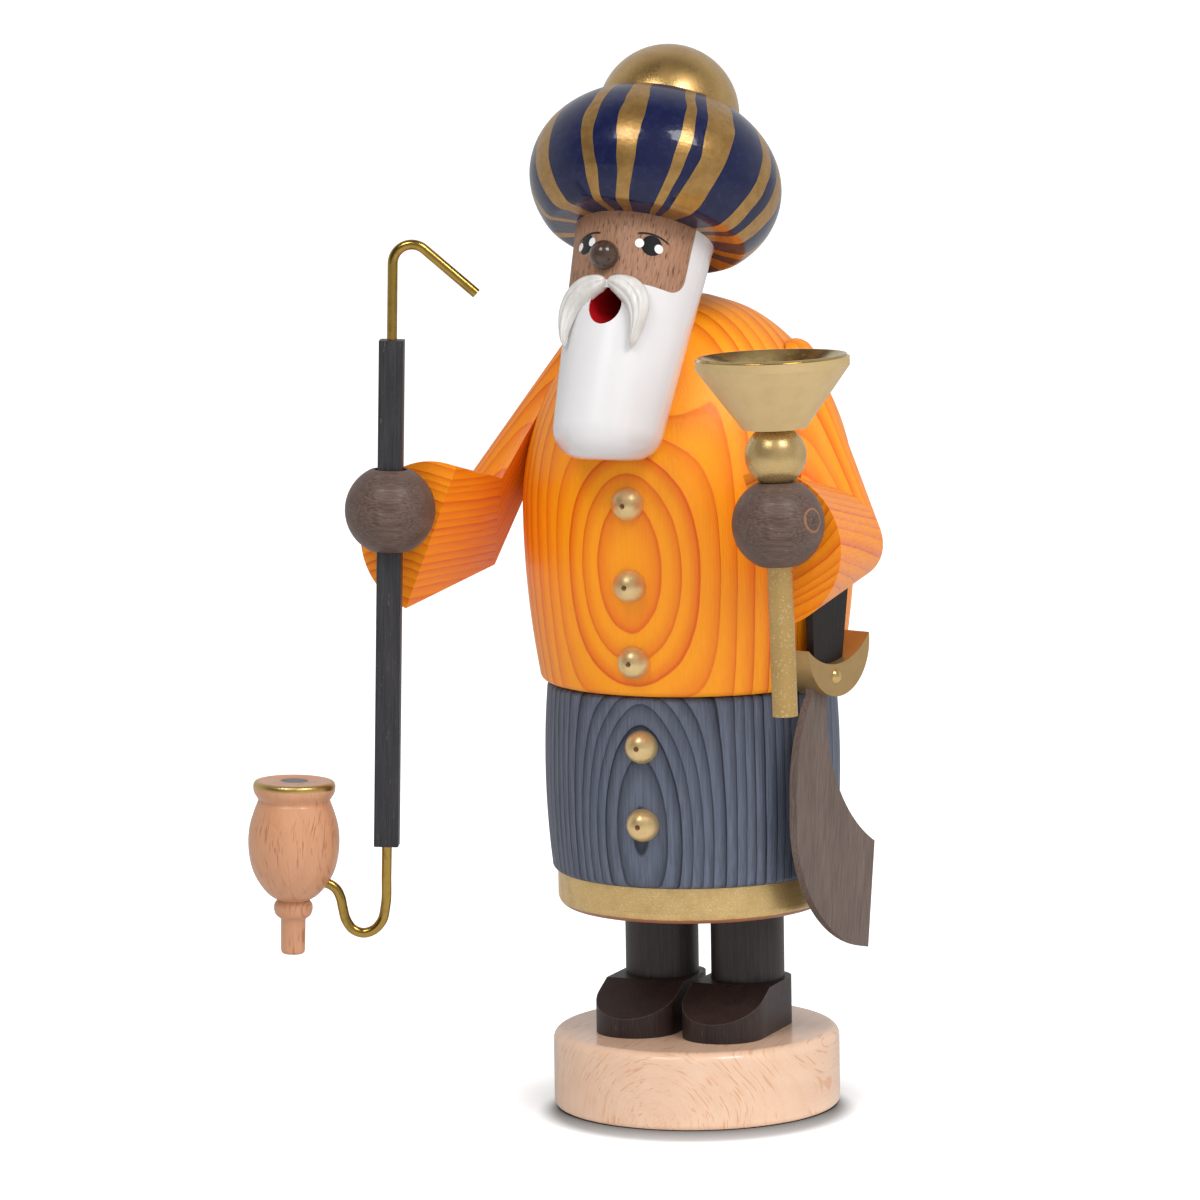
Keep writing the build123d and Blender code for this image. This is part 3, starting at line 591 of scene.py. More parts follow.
@dataclass(frozen=True)
class Beech:
    """Clear-lacquered beech: pale pink wood with short red-brown flecks that follow its rings."""

    tone: Colour = (0.80, 0.555, 0.40)
    shade: Colour = (0.72, 0.455, 0.30)
    fleck: Colour = (0.66, 0.33, 0.160)
    fleck_size: Triple = (0.30, 3.4, 5.0)
    flecks: float = 0.70
    roughness: float = 0.30
    lacquer: float = 0.55

    def make(self, name: str, grain: Grain, gilding: Optional["RimGilding"] = None) -> bpy.types.Material:
        """Make the lacquered wood for one piece.

        Noise laid out by distance from the pith, by arc round it and along the fibres, each over the
        fleck's own size that way, leaves flecks where it is highest; fine threads run along the fibres.

        Args:
            name: the material's name.
            grain: how the piece was cut.
            gilding: a gold edge, if the piece has one.

        Returns:
            The material.
        """
        work = Paintwork(name)
        outward, across, along = grain.measure(work)
        sway = work.noise(work.vector(outward, across, along * 0.3), 0.12, 1.0) - 0.5
        depth = outward.span(across) + sway * 2.0
        arc = across.turn(outward) * 14.0
        dash = work.vector(depth / self.fleck_size[0], arc / self.fleck_size[1], along / self.fleck_size[2])
        fleck = work.noise(dash, 1.0, 1.0, 0.4).rise(0.60, 0.67)
        patch = work.noise(work.vector(outward, across, along), 0.11, 1.0).rise(0.30, 0.52)
        cloud = work.noise(work.vector(outward, across, along * 0.15), 0.22, 2.0).rise(0.25, 0.75)
        thread = work.noise(work.vector(outward, across, along * 0.03), 3.0, 3.0, 0.6).rise(0.3, 0.75)
        band = (depth / 2.4).rest().rise(0.55, 0.98)
        wood = work.mix(cloud * 0.40 + thread * 0.28 + band * 0.22, self.tone, self.shade)
        wood = work.mix(fleck * patch * self.flecks, wood, self.fleck)
        metal: Value = 0.0
        if gilding is not None:
            metal = gilding.cover(work, work.place())
            wood = work.mix(metal, wood, gilding.colour)
        return work.coat_with(
            {
                "Base Color": wood,
                "Metallic": metal,
                "Roughness": self.roughness + 0.12 * thread,
                "Specular IOR Level": 0.35,
                "Coat Weight": self.lacquer,
                "Coat Roughness": 0.10,
                "Normal": work.bump(thread * 0.5 - fleck * 0.6, 0.018),
            }
        )


@dataclass(frozen=True)
class RimGilding:
    """Gold paint on the rounded top edge of a turned rim."""

    top: Triple
    axis: Triple
    inner_radius: float
    depth: float
    blur: float = 0.06
    colour: Colour = (0.66, 0.44, 0.16)

    def cover(self, work: Bench, spot: Wire) -> Wire:
        """Mark the edge, which is far enough from the axis and near enough to the top.

        Args:
            work: the bench of the material.
            spot: the position.

        Returns:
            1 on the gold.
        """
        waver = (work.noise(spot, 0.7, 1.0) - 0.5) * 0.3
        out = work.off_line(spot, self.top, self.axis) + waver
        high = work.reach(spot, self.top, unit(self.axis)) + waver
        outer = out.rise(self.inner_radius - self.blur, self.inner_radius + self.blur)
        return outer * high.rise(-self.depth - self.blur, self.blur - self.depth)


@dataclass(frozen=True)
class GoldPaint:
    """Bronze-powder paint: a warm satin metal full of fine flakes, thinner and browner in places."""

    tone: Colour = (0.74, 0.52, 0.22)
    thin: Colour = (0.48, 0.30, 0.11)
    glint: Colour = (0.96, 0.80, 0.46)
    flake: float = 0.16
    metal: float = 0.74
    roughness: float = 0.33
    relief: float = 0.030
    lacquer: float = 0.12
    sparkle: float = 0.35
    turned: float = 0.0

    def make(self, name: str, mark: Optional[Union["PaintMark", "HemFoot"]] = None) -> bpy.types.Material:
        """Make the paint.

        Cell colours give each flake its own brightness and gloss, and slow noise thins the layer.

        Args:
            name: the material's name.
            mark: a pin hole or a bare edge that the paint leaves open, if there is one.

        Returns:
            The material.
        """
        work = Paintwork(name)
        spot = work.place()
        bright = work.flakes(spot, 1.0 / self.flake)
        layer = work.noise(spot, 0.28, 3.0, 0.55).rise(0.36, 0.74)
        brushed = work.noise(spot, 1.7, 3.0, 0.6)
        paint = work.mix(layer * 0.30 + bright * (0.06 + 0.22 * self.sparkle), self.tone, self.thin)
        glint = bright.rise(0.90, 0.97) * self.sparkle
        paint = work.mix(glint * 0.6, paint, self.glint)
        metal: Value = self.metal
        height = brushed * 0.7 + bright * (0.06 + 0.34 * self.sparkle)
        if self.turned > 0.0:
            level = work.reach(spot, ORIGIN, UP)
            lines = work.noise(work.vector(level * 2.4, layer * 0.4, 0.0), 1.0, 3.0, 0.7)
            height = height + lines * self.turned
        if mark is not None:
            bare = mark.cover(work, spot)
            paint = work.mix(bare, paint, mark.colour)
            metal = self.metal * (1.0 - bare)
            height = height - bare * 6.0 * mark.sunk
        return work.coat_with(
            {
                "Base Color": paint,
                "Metallic": metal,
                "Roughness": self.roughness + 0.12 * layer + 0.10 * bright - 0.12 * glint,
                "Coat Weight": self.lacquer,
                "Coat Roughness": 0.18,
                "Normal": work.bump(height, self.relief),
            }
        )


@dataclass(frozen=True)
class PaintMark:
    """A place that gold paint leaves open: everything within reach of a line through centre along axis."""

    centre: Triple
    axis: Triple
    radius: float
    sunk: float
    colour: Colour = (0.20, 0.062, 0.020)

    def cover(self, work: Bench, spot: Wire) -> Wire:
        """Mark the open place, which is near the line and on the side that its axis points to.

        Args:
            work: the bench of the material.
            spot: the position.

        Returns:
            1 where the paint is open.
        """
        out = work.off_line(spot, self.centre, self.axis)
        ahead = work.reach(spot, self.centre, unit(self.axis))
        return out.fall(self.radius * 0.72, self.radius) * ahead.rise(-0.4, 0.0)


@dataclass(frozen=True)
class HemFoot:
    """The bare brown edge under the gold hem: everything below a level."""

    level: float
    blur: float = 0.06
    sunk: float = 0.0
    colour: Colour = (0.33, 0.125, 0.055)

    def cover(self, work: Bench, spot: Wire) -> Wire:
        """Mark the edge, along a line that wavers a little.

        Args:
            work: the bench of the material.
            spot: the position.

        Returns:
            1 where the wood is bare.
        """
        waver = work.noise(spot, 0.6, 1.0) - 0.5
        depth = work.reach(spot, (0.0, 0.0, self.level), DOWN) + waver * 0.25
        return depth.rise(-self.blur, self.blur)


@dataclass(frozen=True)
class Metal:
    """Bare drawn or pressed metal: bright, with fine lines and a little tarnish."""

    tone: Colour
    tarnish: Colour
    roughness: float
    line: float = 0.22
    relief: float = 0.006

    def make(self, name: str, along: Triple) -> bpy.types.Material:
        """Make the metal.

        Noise drawn out along the working direction gives the fine lines, and slow noise the tarnish.

        Args:
            name: the material's name.
            along: the direction in which it was drawn.

        Returns:
            The material.
        """
        work = Paintwork(name)
        grain = Grain(ORIGIN, along, (0.37, 0.83, 0.21))
        outward, across, run = grain.measure(work)
        lines = work.noise(work.vector(outward, across, run * 0.05), 1.0 / self.line, 2.0)
        spots = work.noise(work.vector(outward, across, run), 0.42, 3.0, 0.6).rise(0.45, 0.80)
        return work.coat_with(
            {
                "Base Color": work.mix(spots * 0.55, self.tone, self.tarnish),
                "Metallic": 1.0,
                "Roughness": self.roughness + 0.20 * spots + 0.08 * lines,
                "Normal": work.bump(lines, self.relief),
            }
        )


@dataclass(frozen=True)
class Lacquer:
    """Thick gloss over wood: a clear or solid colour with a soft unevenness under the shine."""

    tone: Colour
    shade: Colour
    patch: float = 0.25
    roughness: float = 0.22
    gloss: float = 1.0
    relief: float = 0.04

    def make(self, name: str, grain: Grain) -> bpy.types.Material:
        """Make the lacquer: slow noise along the fibres mixes two tones and lifts the surface a little.

        Args:
            name: the material's name.
            grain: how the wood under it was cut.

        Returns:
            The material.
        """
        work = Paintwork(name)
        outward, across, along = grain.measure(work)
        stretch = work.vector(outward, across, along * 0.25)
        cloud = work.noise(stretch, self.patch, 3.0, 0.6).rise(0.28, 0.74)
        peel = work.noise(stretch, 0.8, 1.0)
        return work.coat_with(
            {
                "Base Color": work.mix(cloud, self.tone, self.shade),
                "Roughness": self.roughness + 0.10 * cloud,
                "Specular IOR Level": 0.30,
                "Coat Weight": self.gloss,
                "Coat Roughness": 0.06,
                "Normal": work.bump(peel + cloud * 0.5, self.relief),
            }
        )


@dataclass(frozen=True)
class Eye:
    """One painted eye: an oval, its white dots and its brow, by arc round the head and height up it."""

    arc: float
    height: float
    wide: float
    tall: float
    dots: tuple[Triple, ...]
    brow: Pairs


@dataclass(frozen=True)
class HeadForm:
    """The tapered head: its frame and its radius, which grows evenly from the beard to the turban."""

    origin: Triple = (-1.717, -32.764, 143.011)
    up: Triple = (0.0238, 0.4534, 0.8910)
    face: Triple = (-0.1075, -0.8849, 0.4531)
    left: Triple = (0.9939, -0.1066, 0.0277)
    low_radius: float = 11.0
    high_radius: float = 13.3
    height: float = 31.3

    @property
    def growth(self) -> float:
        """How much the radius grows with each millimetre of height."""
        return (self.high_radius - self.low_radius) / self.height

    def on_face(self, side: np.ndarray, height: np.ndarray, proud: np.ndarray, bend: float) -> np.ndarray:
        """Lay points on or before the head.

        Side and height are measured in the plane of the face. The third place is proud plus that of a circle
        of the head's radius at that height, the root of its square less the square of bend times side.

        Args:
            side: places towards the figure's left.
            height: places up the head.
            proud: how far the points stand before the circle.
            bend: how closely the circle is followed, from 0 for a flat board to 1 for the head itself.

        Returns:
            The points, one row each.
        """
        radius = self.low_radius + self.growth * height
        out = np.sqrt(np.maximum(radius**2 - (bend * side) ** 2, 0.0)) + proud
        frame = np.array([self.left, self.up, self.face])
        return np.asarray(self.origin) + np.stack([side, height, out], axis=-1) @ frame


@dataclass(frozen=True)
class FacePaint:
    """White gloss over the beard and the sides of the head, a bare stained face and its painted features."""

    wood: Colour = (0.37, 0.195, 0.115)
    wood_line: Colour = (0.125, 0.055, 0.032)
    white: Colour = (0.715, 0.700, 0.705)
    dot: Colour = (0.84, 0.84, 0.84)
    black: Colour = (0.010, 0.010, 0.011)
    red: Colour = (0.46, 0.008, 0.012)
    mouth: Triple = (-1.804, -37.70, 159.667)
    mouth_inward: Triple = (0.1206, 0.9927, 0.0)
    mouth_radius: float = 3.3
    half_width: float = 16.4
    lower_edge: float = 17.7
    corner: float = 3.6
    flare: float = 0.06
    blur: float = 0.07
    brow_edge: tuple[float, float] = (0.14, 0.28)
    eyes: tuple[Eye, ...] = (
        Eye(
            arc=8.30,
            height=25.35,
            wide=2.02,
            tall=1.98,
            dots=((5.95, 25.42, 0.86), (9.75, 25.05, 0.84)),
            brow=((5.0, 27.1), (8.6, 27.45), (11.9, 26.3)),
        ),
        Eye(
            arc=-5.70,
            height=25.10,
            wide=2.00,
            tall=1.98,
            dots=((-4.15, 25.40, 0.84), (-7.55, 24.95, 0.80)),
            brow=((-8.6, 26.0), (-5.2, 27.05), (-2.1, 26.95)),
        ),
    )

    def make(self, name: str, form: HeadForm) -> bpy.types.Material:
        """Make the head's paint.

        Each spot is turned into arc round the head and height up it; ovals, dots, brows and the rounded
        edge of the bare face are distances in those two, and red fills what lies under the wood's surface.

        Args:
            name: the material's name.
            form: the head that is painted.

        Returns:
            The material.
        """
        work = Paintwork(name)
        spot = work.place()
        height = work.reach(spot, form.origin, form.up)
        out = work.reach(spot, form.origin, form.face)
        side = work.reach(spot, form.origin, form.left)
        radius = form.low_radius + form.growth * height
        arc = side.turn(out) * radius
        waver = (work.noise(spot, 0.5, 1.0) - 0.5) * 0.12
        bare = self.bare_face(arc + waver, height + waver)
        fibre = work.noise(work.vector(side, out, height * 0.09), 2.6, 3.0, 0.6)
        dash = work.noise(work.vector(side, out, height * 0.14), 3.4, 1.0, 0.4).rise(0.60, 0.70)
        wood = work.mix(fibre.fall(0.30, 0.62) * 0.40 + dash * 0.70, self.wood, self.wood_line)
        sheen = work.noise(work.vector(side, out, height * 0.2), 0.22, 2.0)
        white = work.mix(sheen.rise(0.35, 0.75) * 0.5, self.white, triple(np.asarray(self.white) * 0.94))
        paint = work.mix(bare, white, wood)
        ink = self.brows(arc, height)
        pupil = self.ovals(arc, height)
        dots = self.dots(arc, height)
        paint = work.mix(pupil.greater(ink), paint, self.black)
        paint = work.mix(dots, paint, self.dot)
        inside = (radius - side.span(out)).rise(0.12, 0.30) * self.mouth_bore(work, spot)
        paint = work.mix(inside, paint, self.red)
        matt = bare * (1.0 - pupil) * (1.0 - dots)
        return work.coat_with(
            {
                "Base Color": paint,
                "Roughness": 0.20 + 0.32 * matt,
                "Specular IOR Level": 0.25,
                "Coat Weight": 0.8 - 0.75 * matt - 0.7 * pupil,
                "Coat Roughness": 0.10,
                "Normal": work.bump(fibre * matt + sheen * (1.0 - matt) * 0.8 - dash * matt * 0.6, 0.06),
            }
        )

    def mouth_bore(self, work: Bench, spot: Wire) -> Wire:
        """Return a mask of the mouth's bore: distance from the level line through its middle."""
        out = work.off_line(spot, self.mouth, self.mouth_inward)
        return out.fall(self.mouth_radius + 0.2, self.mouth_radius + 0.5)

    def bare_face(self, arc: Wire, height: Wire) -> Wire:
        """Return a mask of the bare face.

        It is a box in arc and height with rounded lower corners: the distance past the corner's centre in
        both ways, less the corner's radius.

        Args:
            arc: places round the head.
            height: places up the head.

        Returns:
            1 on the bare face and 0 on the white.
        """
        flare = (height - self.lower_edge) * self.flare
        past_side = (arc.amount() - flare - (self.half_width - self.corner)).greater(0.0)
        past_low = ((self.lower_edge + self.corner) - height).greater(0.0)
        return past_side.span(past_low).fall(self.corner - self.blur, self.corner + self.blur)

    def ovals(self, arc: Wire, height: Wire) -> Wire:
        """Mark the black ovals: both places over their half sizes, squared, added and rooted.

        Args:
            arc: places round the head.
            height: places up the head.

        Returns:
            1 on the ovals.
        """
        masks = []
        for eye in self.eyes:
            out = ((arc - eye.arc) / eye.wide).span((height - eye.height) / eye.tall)
            masks.append(out.fall(0.95, 1.04))
        return reduce(Wire.greater, masks)

    def dots(self, arc: Wire, height: Wire) -> Wire:
        """Mark the white dots in the eyes by distance from each dot's middle.

        Args:
            arc: places round the head.
            height: places up the head.

        Returns:
            1 on the dots.
        """
        masks = []
        for eye in self.eyes:
            for dot_arc, dot_height, size in eye.dots:
                away = (arc - dot_arc).span(height - dot_height)
                masks.append(away.fall(size - self.blur, size + self.blur))
        return reduce(Wire.greater, masks)

    def brows(self, arc: Wire, height: Wire) -> Wire:
        """Return a mask of the brows.

        Each is a parabola through its three points, as wide as a fine brush and thinner at its ends.

        Args:
            arc: places round the head.
            height: places up the head.

        Returns:
            1 on the brows.
        """
        masks = []
        for eye in self.eyes:
            points = np.asarray(eye.brow)
            bend, slope, start = (float(number) for number in np.polyfit(points[:, 0], points[:, 1], 2))
            middle = float(points[:, 0].mean())
            half = float(np.ptp(points[:, 0])) / 2.0
            line = arc * arc * bend + arc * slope + start
            ends = ((arc - middle) / half).amount().fall(0.80, 1.02)
            masks.append((height - line).amount().fall(*self.brow_edge) * ends)
        return reduce(Wire.greater, masks)


@dataclass(frozen=True)
class TurbanPaint:
    """Dark blue gloss with hand-painted gold stripes of uneven width that run from brim to crown."""

    centre: Triple = (-0.703, -13.405, 181.057)
    crown: Triple = (-0.0180, 0.6584, 0.7524)
    front: Triple = (-0.1152, -0.7489, 0.6526)
    left: Triple = (0.9932, -0.0749, 0.0894)
    blue: Colour = (0.0075, 0.0100, 0.046)
    blue_thin: Colour = (0.014, 0.019, 0.066)
    gold: Colour = (0.47, 0.275, 0.088)
    gold_thin: Colour = (0.31, 0.165, 0.048)
    flakes: float = 5.5
    stripes: Pairs = (
        (-172.0, -160.0),
        (-143.0, -135.5),
        (-126.0, -112.0),
        (-98.0, -91.0),
        (-69.5, -63.5),
        (-46.6, -32.4),
        (-10.6, -4.2),
        (7.2, 17.4),
        (35.4, 41.6),
        (47.6, 61.6),
        (81.6, 90.2),
        (97.2, 108.6),
        (126.0, 133.0),
        (143.0, 156.0),
    )

    def make(self, name: str) -> bpy.types.Material:
        """Make the turban's paint.

        The angle round the crown, with a slow waver that differs up the stripes, is looked up in a row of
        hard steps: gold between a stripe's two edges and blue elsewhere.

        Args:
            name: the material's name.

        Returns:
            The material.
        """
        work = Paintwork(name)
        spot = work.place()
        out = work.reach(spot, self.centre, self.front)
        side = work.reach(spot, self.centre, self.left)
        high = work.reach(spot, self.centre, self.crown)
        waver = work.noise(work.vector(side, out, high), 0.075, 0.0) - 0.5
        jag = work.noise(work.vector(side, out, high), 0.22, 0.0) - 0.5
        angle = side.turn(out) * (180.0 / math.pi) + waver * 6.0 + jag * 2.2
        edges = [(0.0, 0.0)]
        for start, stop in self.stripes:
            edges.append((0.5 + start / 360.0, 1.0))
            edges.append((0.5 + stop / 360.0, 0.0))
        stripe = work.node("ShaderNodeValToRGB", {"stops": edges}, {0: angle / 360.0 + 0.5})
        gilt = work.node("ShaderNodeSeparateColor", sockets={0: stripe})
        brush = work.noise(work.vector(side, out, high), 0.55, 4.0, 0.6)
        flake = work.flakes(spot, self.flakes)
        gold = work.mix(brush.rise(0.35, 0.70) * 0.55 + flake * 0.25, self.gold, self.gold_thin)
        blue = work.mix(brush.rise(0.42, 0.75), self.blue, self.blue_thin)
        peel = work.noise(spot, 0.9, 2.0, 0.5)
        return work.coat_with(
            {
                "Base Color": work.mix(gilt, blue, gold),
                "Metallic": gilt * 0.78,
                "Roughness": 0.24 + gilt * (0.07 + 0.10 * flake),
                "Specular IOR Level": 0.15,
                "Coat Weight": 0.46 - gilt * 0.16,
                "Coat Roughness": 0.07,
                "Normal": work.bump(peel * 0.8 + brush * 0.3 + gilt * 0.35, 0.075),
            }
        )


@dataclass
class Assembly:
    """What the sub-assemblies share: the nodes of the figure and the way they are painted."""

    nodes: Mapping[str, bpy.types.Object]

    def paint(self, material: bpy.types.Material, *names: str) -> None:
        """Put a material on every slot of some nodes.

        Args:
            material: the finished material.
            names: the nodes that get it.
        """
        for name in names:
            node = self.nodes[name]
            if not node.material_slots:
                node.data.materials.append(material)
            for slot in node.material_slots:
                slot.material = material
            LOG.info("%s painted with %s", name, material.name)

    @staticmethod
    def middle(name: str) -> np.ndarray:
        """Return the middle of a node's box in millimetres."""
        low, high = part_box(name)
        return (np.asarray(low) + np.asarray(high)) / (2.0 * METRES)

    def cut(self, name: str, pith: Triple, along: Triple, outward: Triple) -> Grain:
        """Return the grain of a node, with its pith at a place measured from the node's middle."""
        return Grain(triple(self.middle(name) + np.asarray(pith)), along, outward)

    def dress(self) -> None:
        """Paint every piece, which each sub-assembly does in its own way."""
        raise NotImplementedError

    def build(self) -> None:
        """Make the pieces that the nodes leave out, of which most sub-assemblies have none."""

    def gild_buttons(self, *names: str) -> None:
        """Paint buttons gold, each with the pin hole at its front.

        Args:
            names: the buttons' nodes.
        """
        gold = GoldPaint(tone=(0.82, 0.61, 0.30), thin=(0.58, 0.38, 0.15), roughness=0.29, sparkle=0.2)
        for name in names:
            hole = PaintMark(triple(self.middle(name)), FRONT, radius=0.42, sunk=1.0)
            self.paint(gold.make(f"gold_{name}", hole), name)


@dataclass
class Stand(Assembly):
    """The lower half: plinth, boots, legs, hem, skirt, and the plate that carries the incense."""

    plinth_heart: Triple = (2.4, 0.0, 0.8)
    leg_pith: Triple = (17.0, 26.0, 0.0)
    skirt_pith: Triple = (0.8, -34.2, 54.6)
    hem_line: float = 40.75
    skirt_stain: RingedWood = RingedWood(
        light=(0.126, 0.147, 0.202),
        dark=(0.004, 0.005, 0.014),
        ring=2.05,
        start=8.4,
        bow=0.008,
        bow_reach=(6.0, 22.0),
        wander=0.7,
        uneven=0.7,
        relief=0.24,
        fibre_tone=0.30,
        roughness=0.50,
        lacquer=0.08,
    )
    leg_stain: FineWood = FineWood(
        (0.055, 0.045, 0.045), (0.024, 0.018, 0.018), (0.18, 0.14, 0.13), pores=0.18
    )
    boot_stain: FineWood = FineWood(
        (0.046, 0.027, 0.023), (0.014, 0.008, 0.008), (0.24, 0.17, 0.14), pores=0.24, pale_edges=0.55
    )

    def dress(self) -> None:
        """Paint every piece of the lower half."""
        self.paint(Beech().make("plinth_beech", Grain(self.plinth_heart, BACK, UP)), "base_plinth")
        for piece, stain in (("boot", self.boot_stain), ("leg", self.leg_stain)):
            for name in (f"{piece}_right", f"{piece}_left"):
                grain = self.cut(name, self.leg_pith, UP, (-0.6, -0.8, 0.0))
                self.paint(stain.make(f"{name}_stain", grain), name)
        hem = GoldPaint(roughness=0.30, flake=0.20, sparkle=0.8, turned=1.6)
        self.paint(hem.make("hem_gold", HemFoot(self.hem_line)), "hem_disc")
        self.paint(self.skirt_stain.make("skirt_blue", Grain(self.skirt_pith, UP, BACK)), "skirt")
        tin = Metal((0.62, 0.61, 0.59), (0.33, 0.30, 0.27), 0.34)
        self.paint(tin.make("plate_tin", LEFT), "ember_plate", "plate_tack")
        self.gild_buttons("skirt_button_1", "skirt_button_2")


@dataclass
class Coat(Assembly):
    """The orange dome with its three buttons, and the dowels hidden in its shoulders."""

    pith: Triple = (0.3, -40.0, 108.0)
    stain: RingedWood = RingedWood(
        light=(1.0, 0.350, 0.005),
        dark=(0.76, 0.092, 0.002),
        ring=3.4,
        start=14.1,
        bow=0.0149,
        wander=0.8,
        uneven=0.5,
        relief=0.16,
        fibre_tone=0.08,
        roughness=0.42,
        lacquer=0.16,
    )

    def dress(self) -> None:
        """Paint the coat, its buttons and the shoulder dowels."""
        self.paint(self.stain.make("coat_orange", Grain(self.pith, UP, BACK)), "coat")
        self.gild_buttons("coat_button_1", "coat_button_2", "coat_button_3")
        dowel = Beech(flecks=0.4, lacquer=0.2)
        for name in ("shoulder_dowel_right", "shoulder_dowel_left"):
            grain = self.cut(name, (0.0, 9.0, 0.0), (1.0, 0.0, 0.2), FRONT)
            self.paint(dowel.make(f"{name}_beech", grain), name)


@dataclass
class Head(Assembly):
    """Head and beard, nose, carved moustaches, turban and knob."""

    form: HeadForm = HeadForm()
    mouth_side: float = 0.9
    mouth_height: float = 12.6
    crest: Pairs = (
        (0.22, 4.5),
        (0.75, 5.6),
        (1.9, 6.1),
        (3.6, 6.15),
        (5.35, 5.75),
        (6.85, 4.75),
        (8.05, 3.1),
        (8.75, 0.35),
        (8.55, -2.3),
        (7.85, -4.9),
        (7.2, -6.7),
        (6.4, -7.8),
    )
    hollow: Pairs = (
        (0.22, 4.5),
        (0.55, 3.5),
        (1.72, 2.45),
        (2.85, 1.45),
        (3.9, 0.6),
        (4.95, -0.65),
        (5.65, -2.3),
        (6.05, -4.0),
        (6.2, -5.9),
        (6.15, -6.95),
        (6.4, -7.8),
    )
    thickness: float = 2.5
    bend: float = 0.5
    sunk: float = 0.8
    right_stretch: float = 0.20
    groove_count: float = 3.0
    groove_depth: float = 0.46
    groove_sway: float = 0.06
    crown_power: float = 0.42
    taper: float = 0.40
    back: float = 0.04
    rings: int = 84
    spokes: int = 96

    def build(self) -> None:
        """Carve both moustaches and put them in the place of their plain nodes."""
        white = Lacquer(
            (0.69, 0.665, 0.635), (0.55, 0.53, 0.50), patch=0.5, roughness=0.34, gloss=0.35, relief=0.05
        )
        grain = Grain(self.form.origin, self.form.up, self.form.face)
        for side in Side:
            name = f"moustache_{side.name.lower()}"
            piece = self.carve(side, f"{name}_carved")
            piece.data.materials.append(white.make(f"{name}_white", grain))
            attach(piece, Body.FIGURE.value)
            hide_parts(name)
            LOG.info("%s carved with %d faces", piece.name, len(piece.data.polygons))

    def carve(self, side: Side, name: str) -> bpy.types.Object:
        """Carve one half of the moustache.

        The first parameter runs from root to tip and the second round the cross-section. Across, a point
        goes from the hollow edge to the crest and back by half of one less the cosine; on the front its
        height is a blunt crown times a swell along the length, less cosine grooves that follow the length.

        Args:
            side: which half is carved.
            name: the name of the new piece.

        Returns:
            The piece, with its place in its mesh.
        """
        run = np.linspace(0.0, 1.0, self.rings + 2)[1:-1, None]
        spoke = full_turn(self.spokes)[None, :]
        across = 0.5 - 0.5 * np.cos(spoke)
        crest = smooth_curve(np.asarray(self.crest), run[:, 0])[:, None, :]
        hollow = smooth_curve(np.asarray(self.hollow), run[:, 0])[:, None, :]
        flat = hollow + (crest - hollow) * across[..., None]
        stretch = self.right_stretch if side is Side.RIGHT else 0.0
        swell = (1.0 - (2.0 * run - 1.0) ** 8) ** 0.5 * (1.0 - self.taper * run**2)
        crown = np.maximum(4.0 * across * (1.0 - across), 0.0) ** self.crown_power
        sweep = across + self.groove_sway * np.sin(math.pi * run)
        groove = (0.5 + 0.5 * np.cos(2.0 * math.pi * self.groove_count * sweep)) ** 2
        front = swell * crown * (self.thickness - self.groove_depth * groove * (0.35 + 0.65 * run))
        proud = np.where(np.sin(spoke) > 0.0, front, -self.back) - self.sunk
        sideways = self.mouth_side + side.value * flat[..., 0] * (1.0 + stretch * run)
        points = self.form.on_face(sideways, self.mouth_height + flat[..., 1], proud, self.bend)
        ends = np.array([self.crest[0], self.crest[-1]])
        sideways = self.mouth_side + side.value * ends[:, 0] * np.array([1.0, 1.0 + stretch])
        proud = np.full(2, -self.sunk)
        root, tip = self.form.on_face(sideways, self.mouth_height + ends[:, 1], proud, self.bend)
        return closed_tube(name, points, root[None, :], tip[None, :])

    def dress(self) -> None:
        """Paint the head, the nose, the turban and its knob."""
        self.paint(FacePaint().make("face_and_beard_paint", self.form), "head")
        nose = Lacquer(
            (0.075, 0.040, 0.027), (0.040, 0.021, 0.015), patch=0.5, roughness=0.20, gloss=0.7, relief=0.01
        )
        self.paint(nose.make("nose_brown", Grain(self.form.origin, self.form.up, self.form.face)), "nose")
        self.paint(TurbanPaint().make("turban_stripes"), "turban")
        knob = GoldPaint(
            tone=(0.58, 0.365, 0.125), thin=(0.40, 0.225, 0.070), metal=0.92, roughness=0.22, lacquer=0.5
        )
        self.paint(knob.make("knob_gold"), "turban_knob")


def full_turn(count: int) -> np.ndarray:
    """Return evenly spaced angles once round, the last one short of the first."""
    return np.linspace(0.0, 2.0 * math.pi, count, endpoint=False)


def smooth_curve(points: np.ndarray, run: np.ndarray) -> np.ndarray:
    """Run a smooth curve through points.

    Between two points it is a cubic with the slopes that the neighbouring points give, with the points
    spaced by their share of the whole length.

    Args:
        points: the points in order, one row each.
        run: places along the curve from 0 to 1.

    Returns:
        The curve's points, one row for each place.
    """
    steps = np.linalg.norm(np.diff(points, axis=0), axis=1)
    knots = np.concatenate([[0.0], np.cumsum(steps)]) / steps.sum()
    slopes = np.gradient(points, knots, axis=0)
    span = np.clip(np.searchsorted(knots, run, side="right") - 1, 0, len(knots) - 2)
    width = (knots[span + 1] - knots[span])[:, None]
    part = ((run - knots[span])[:, None]) / width
    return (
        (2 * part**3 - 3 * part**2 + 1) * points[span]
        + (part**3 - 2 * part**2 + part) * width * slopes[span]
        + (3 * part**2 - 2 * part**3) * points[span + 1]
        + (part**3 - part**2) * width * slopes[span + 1]
    )


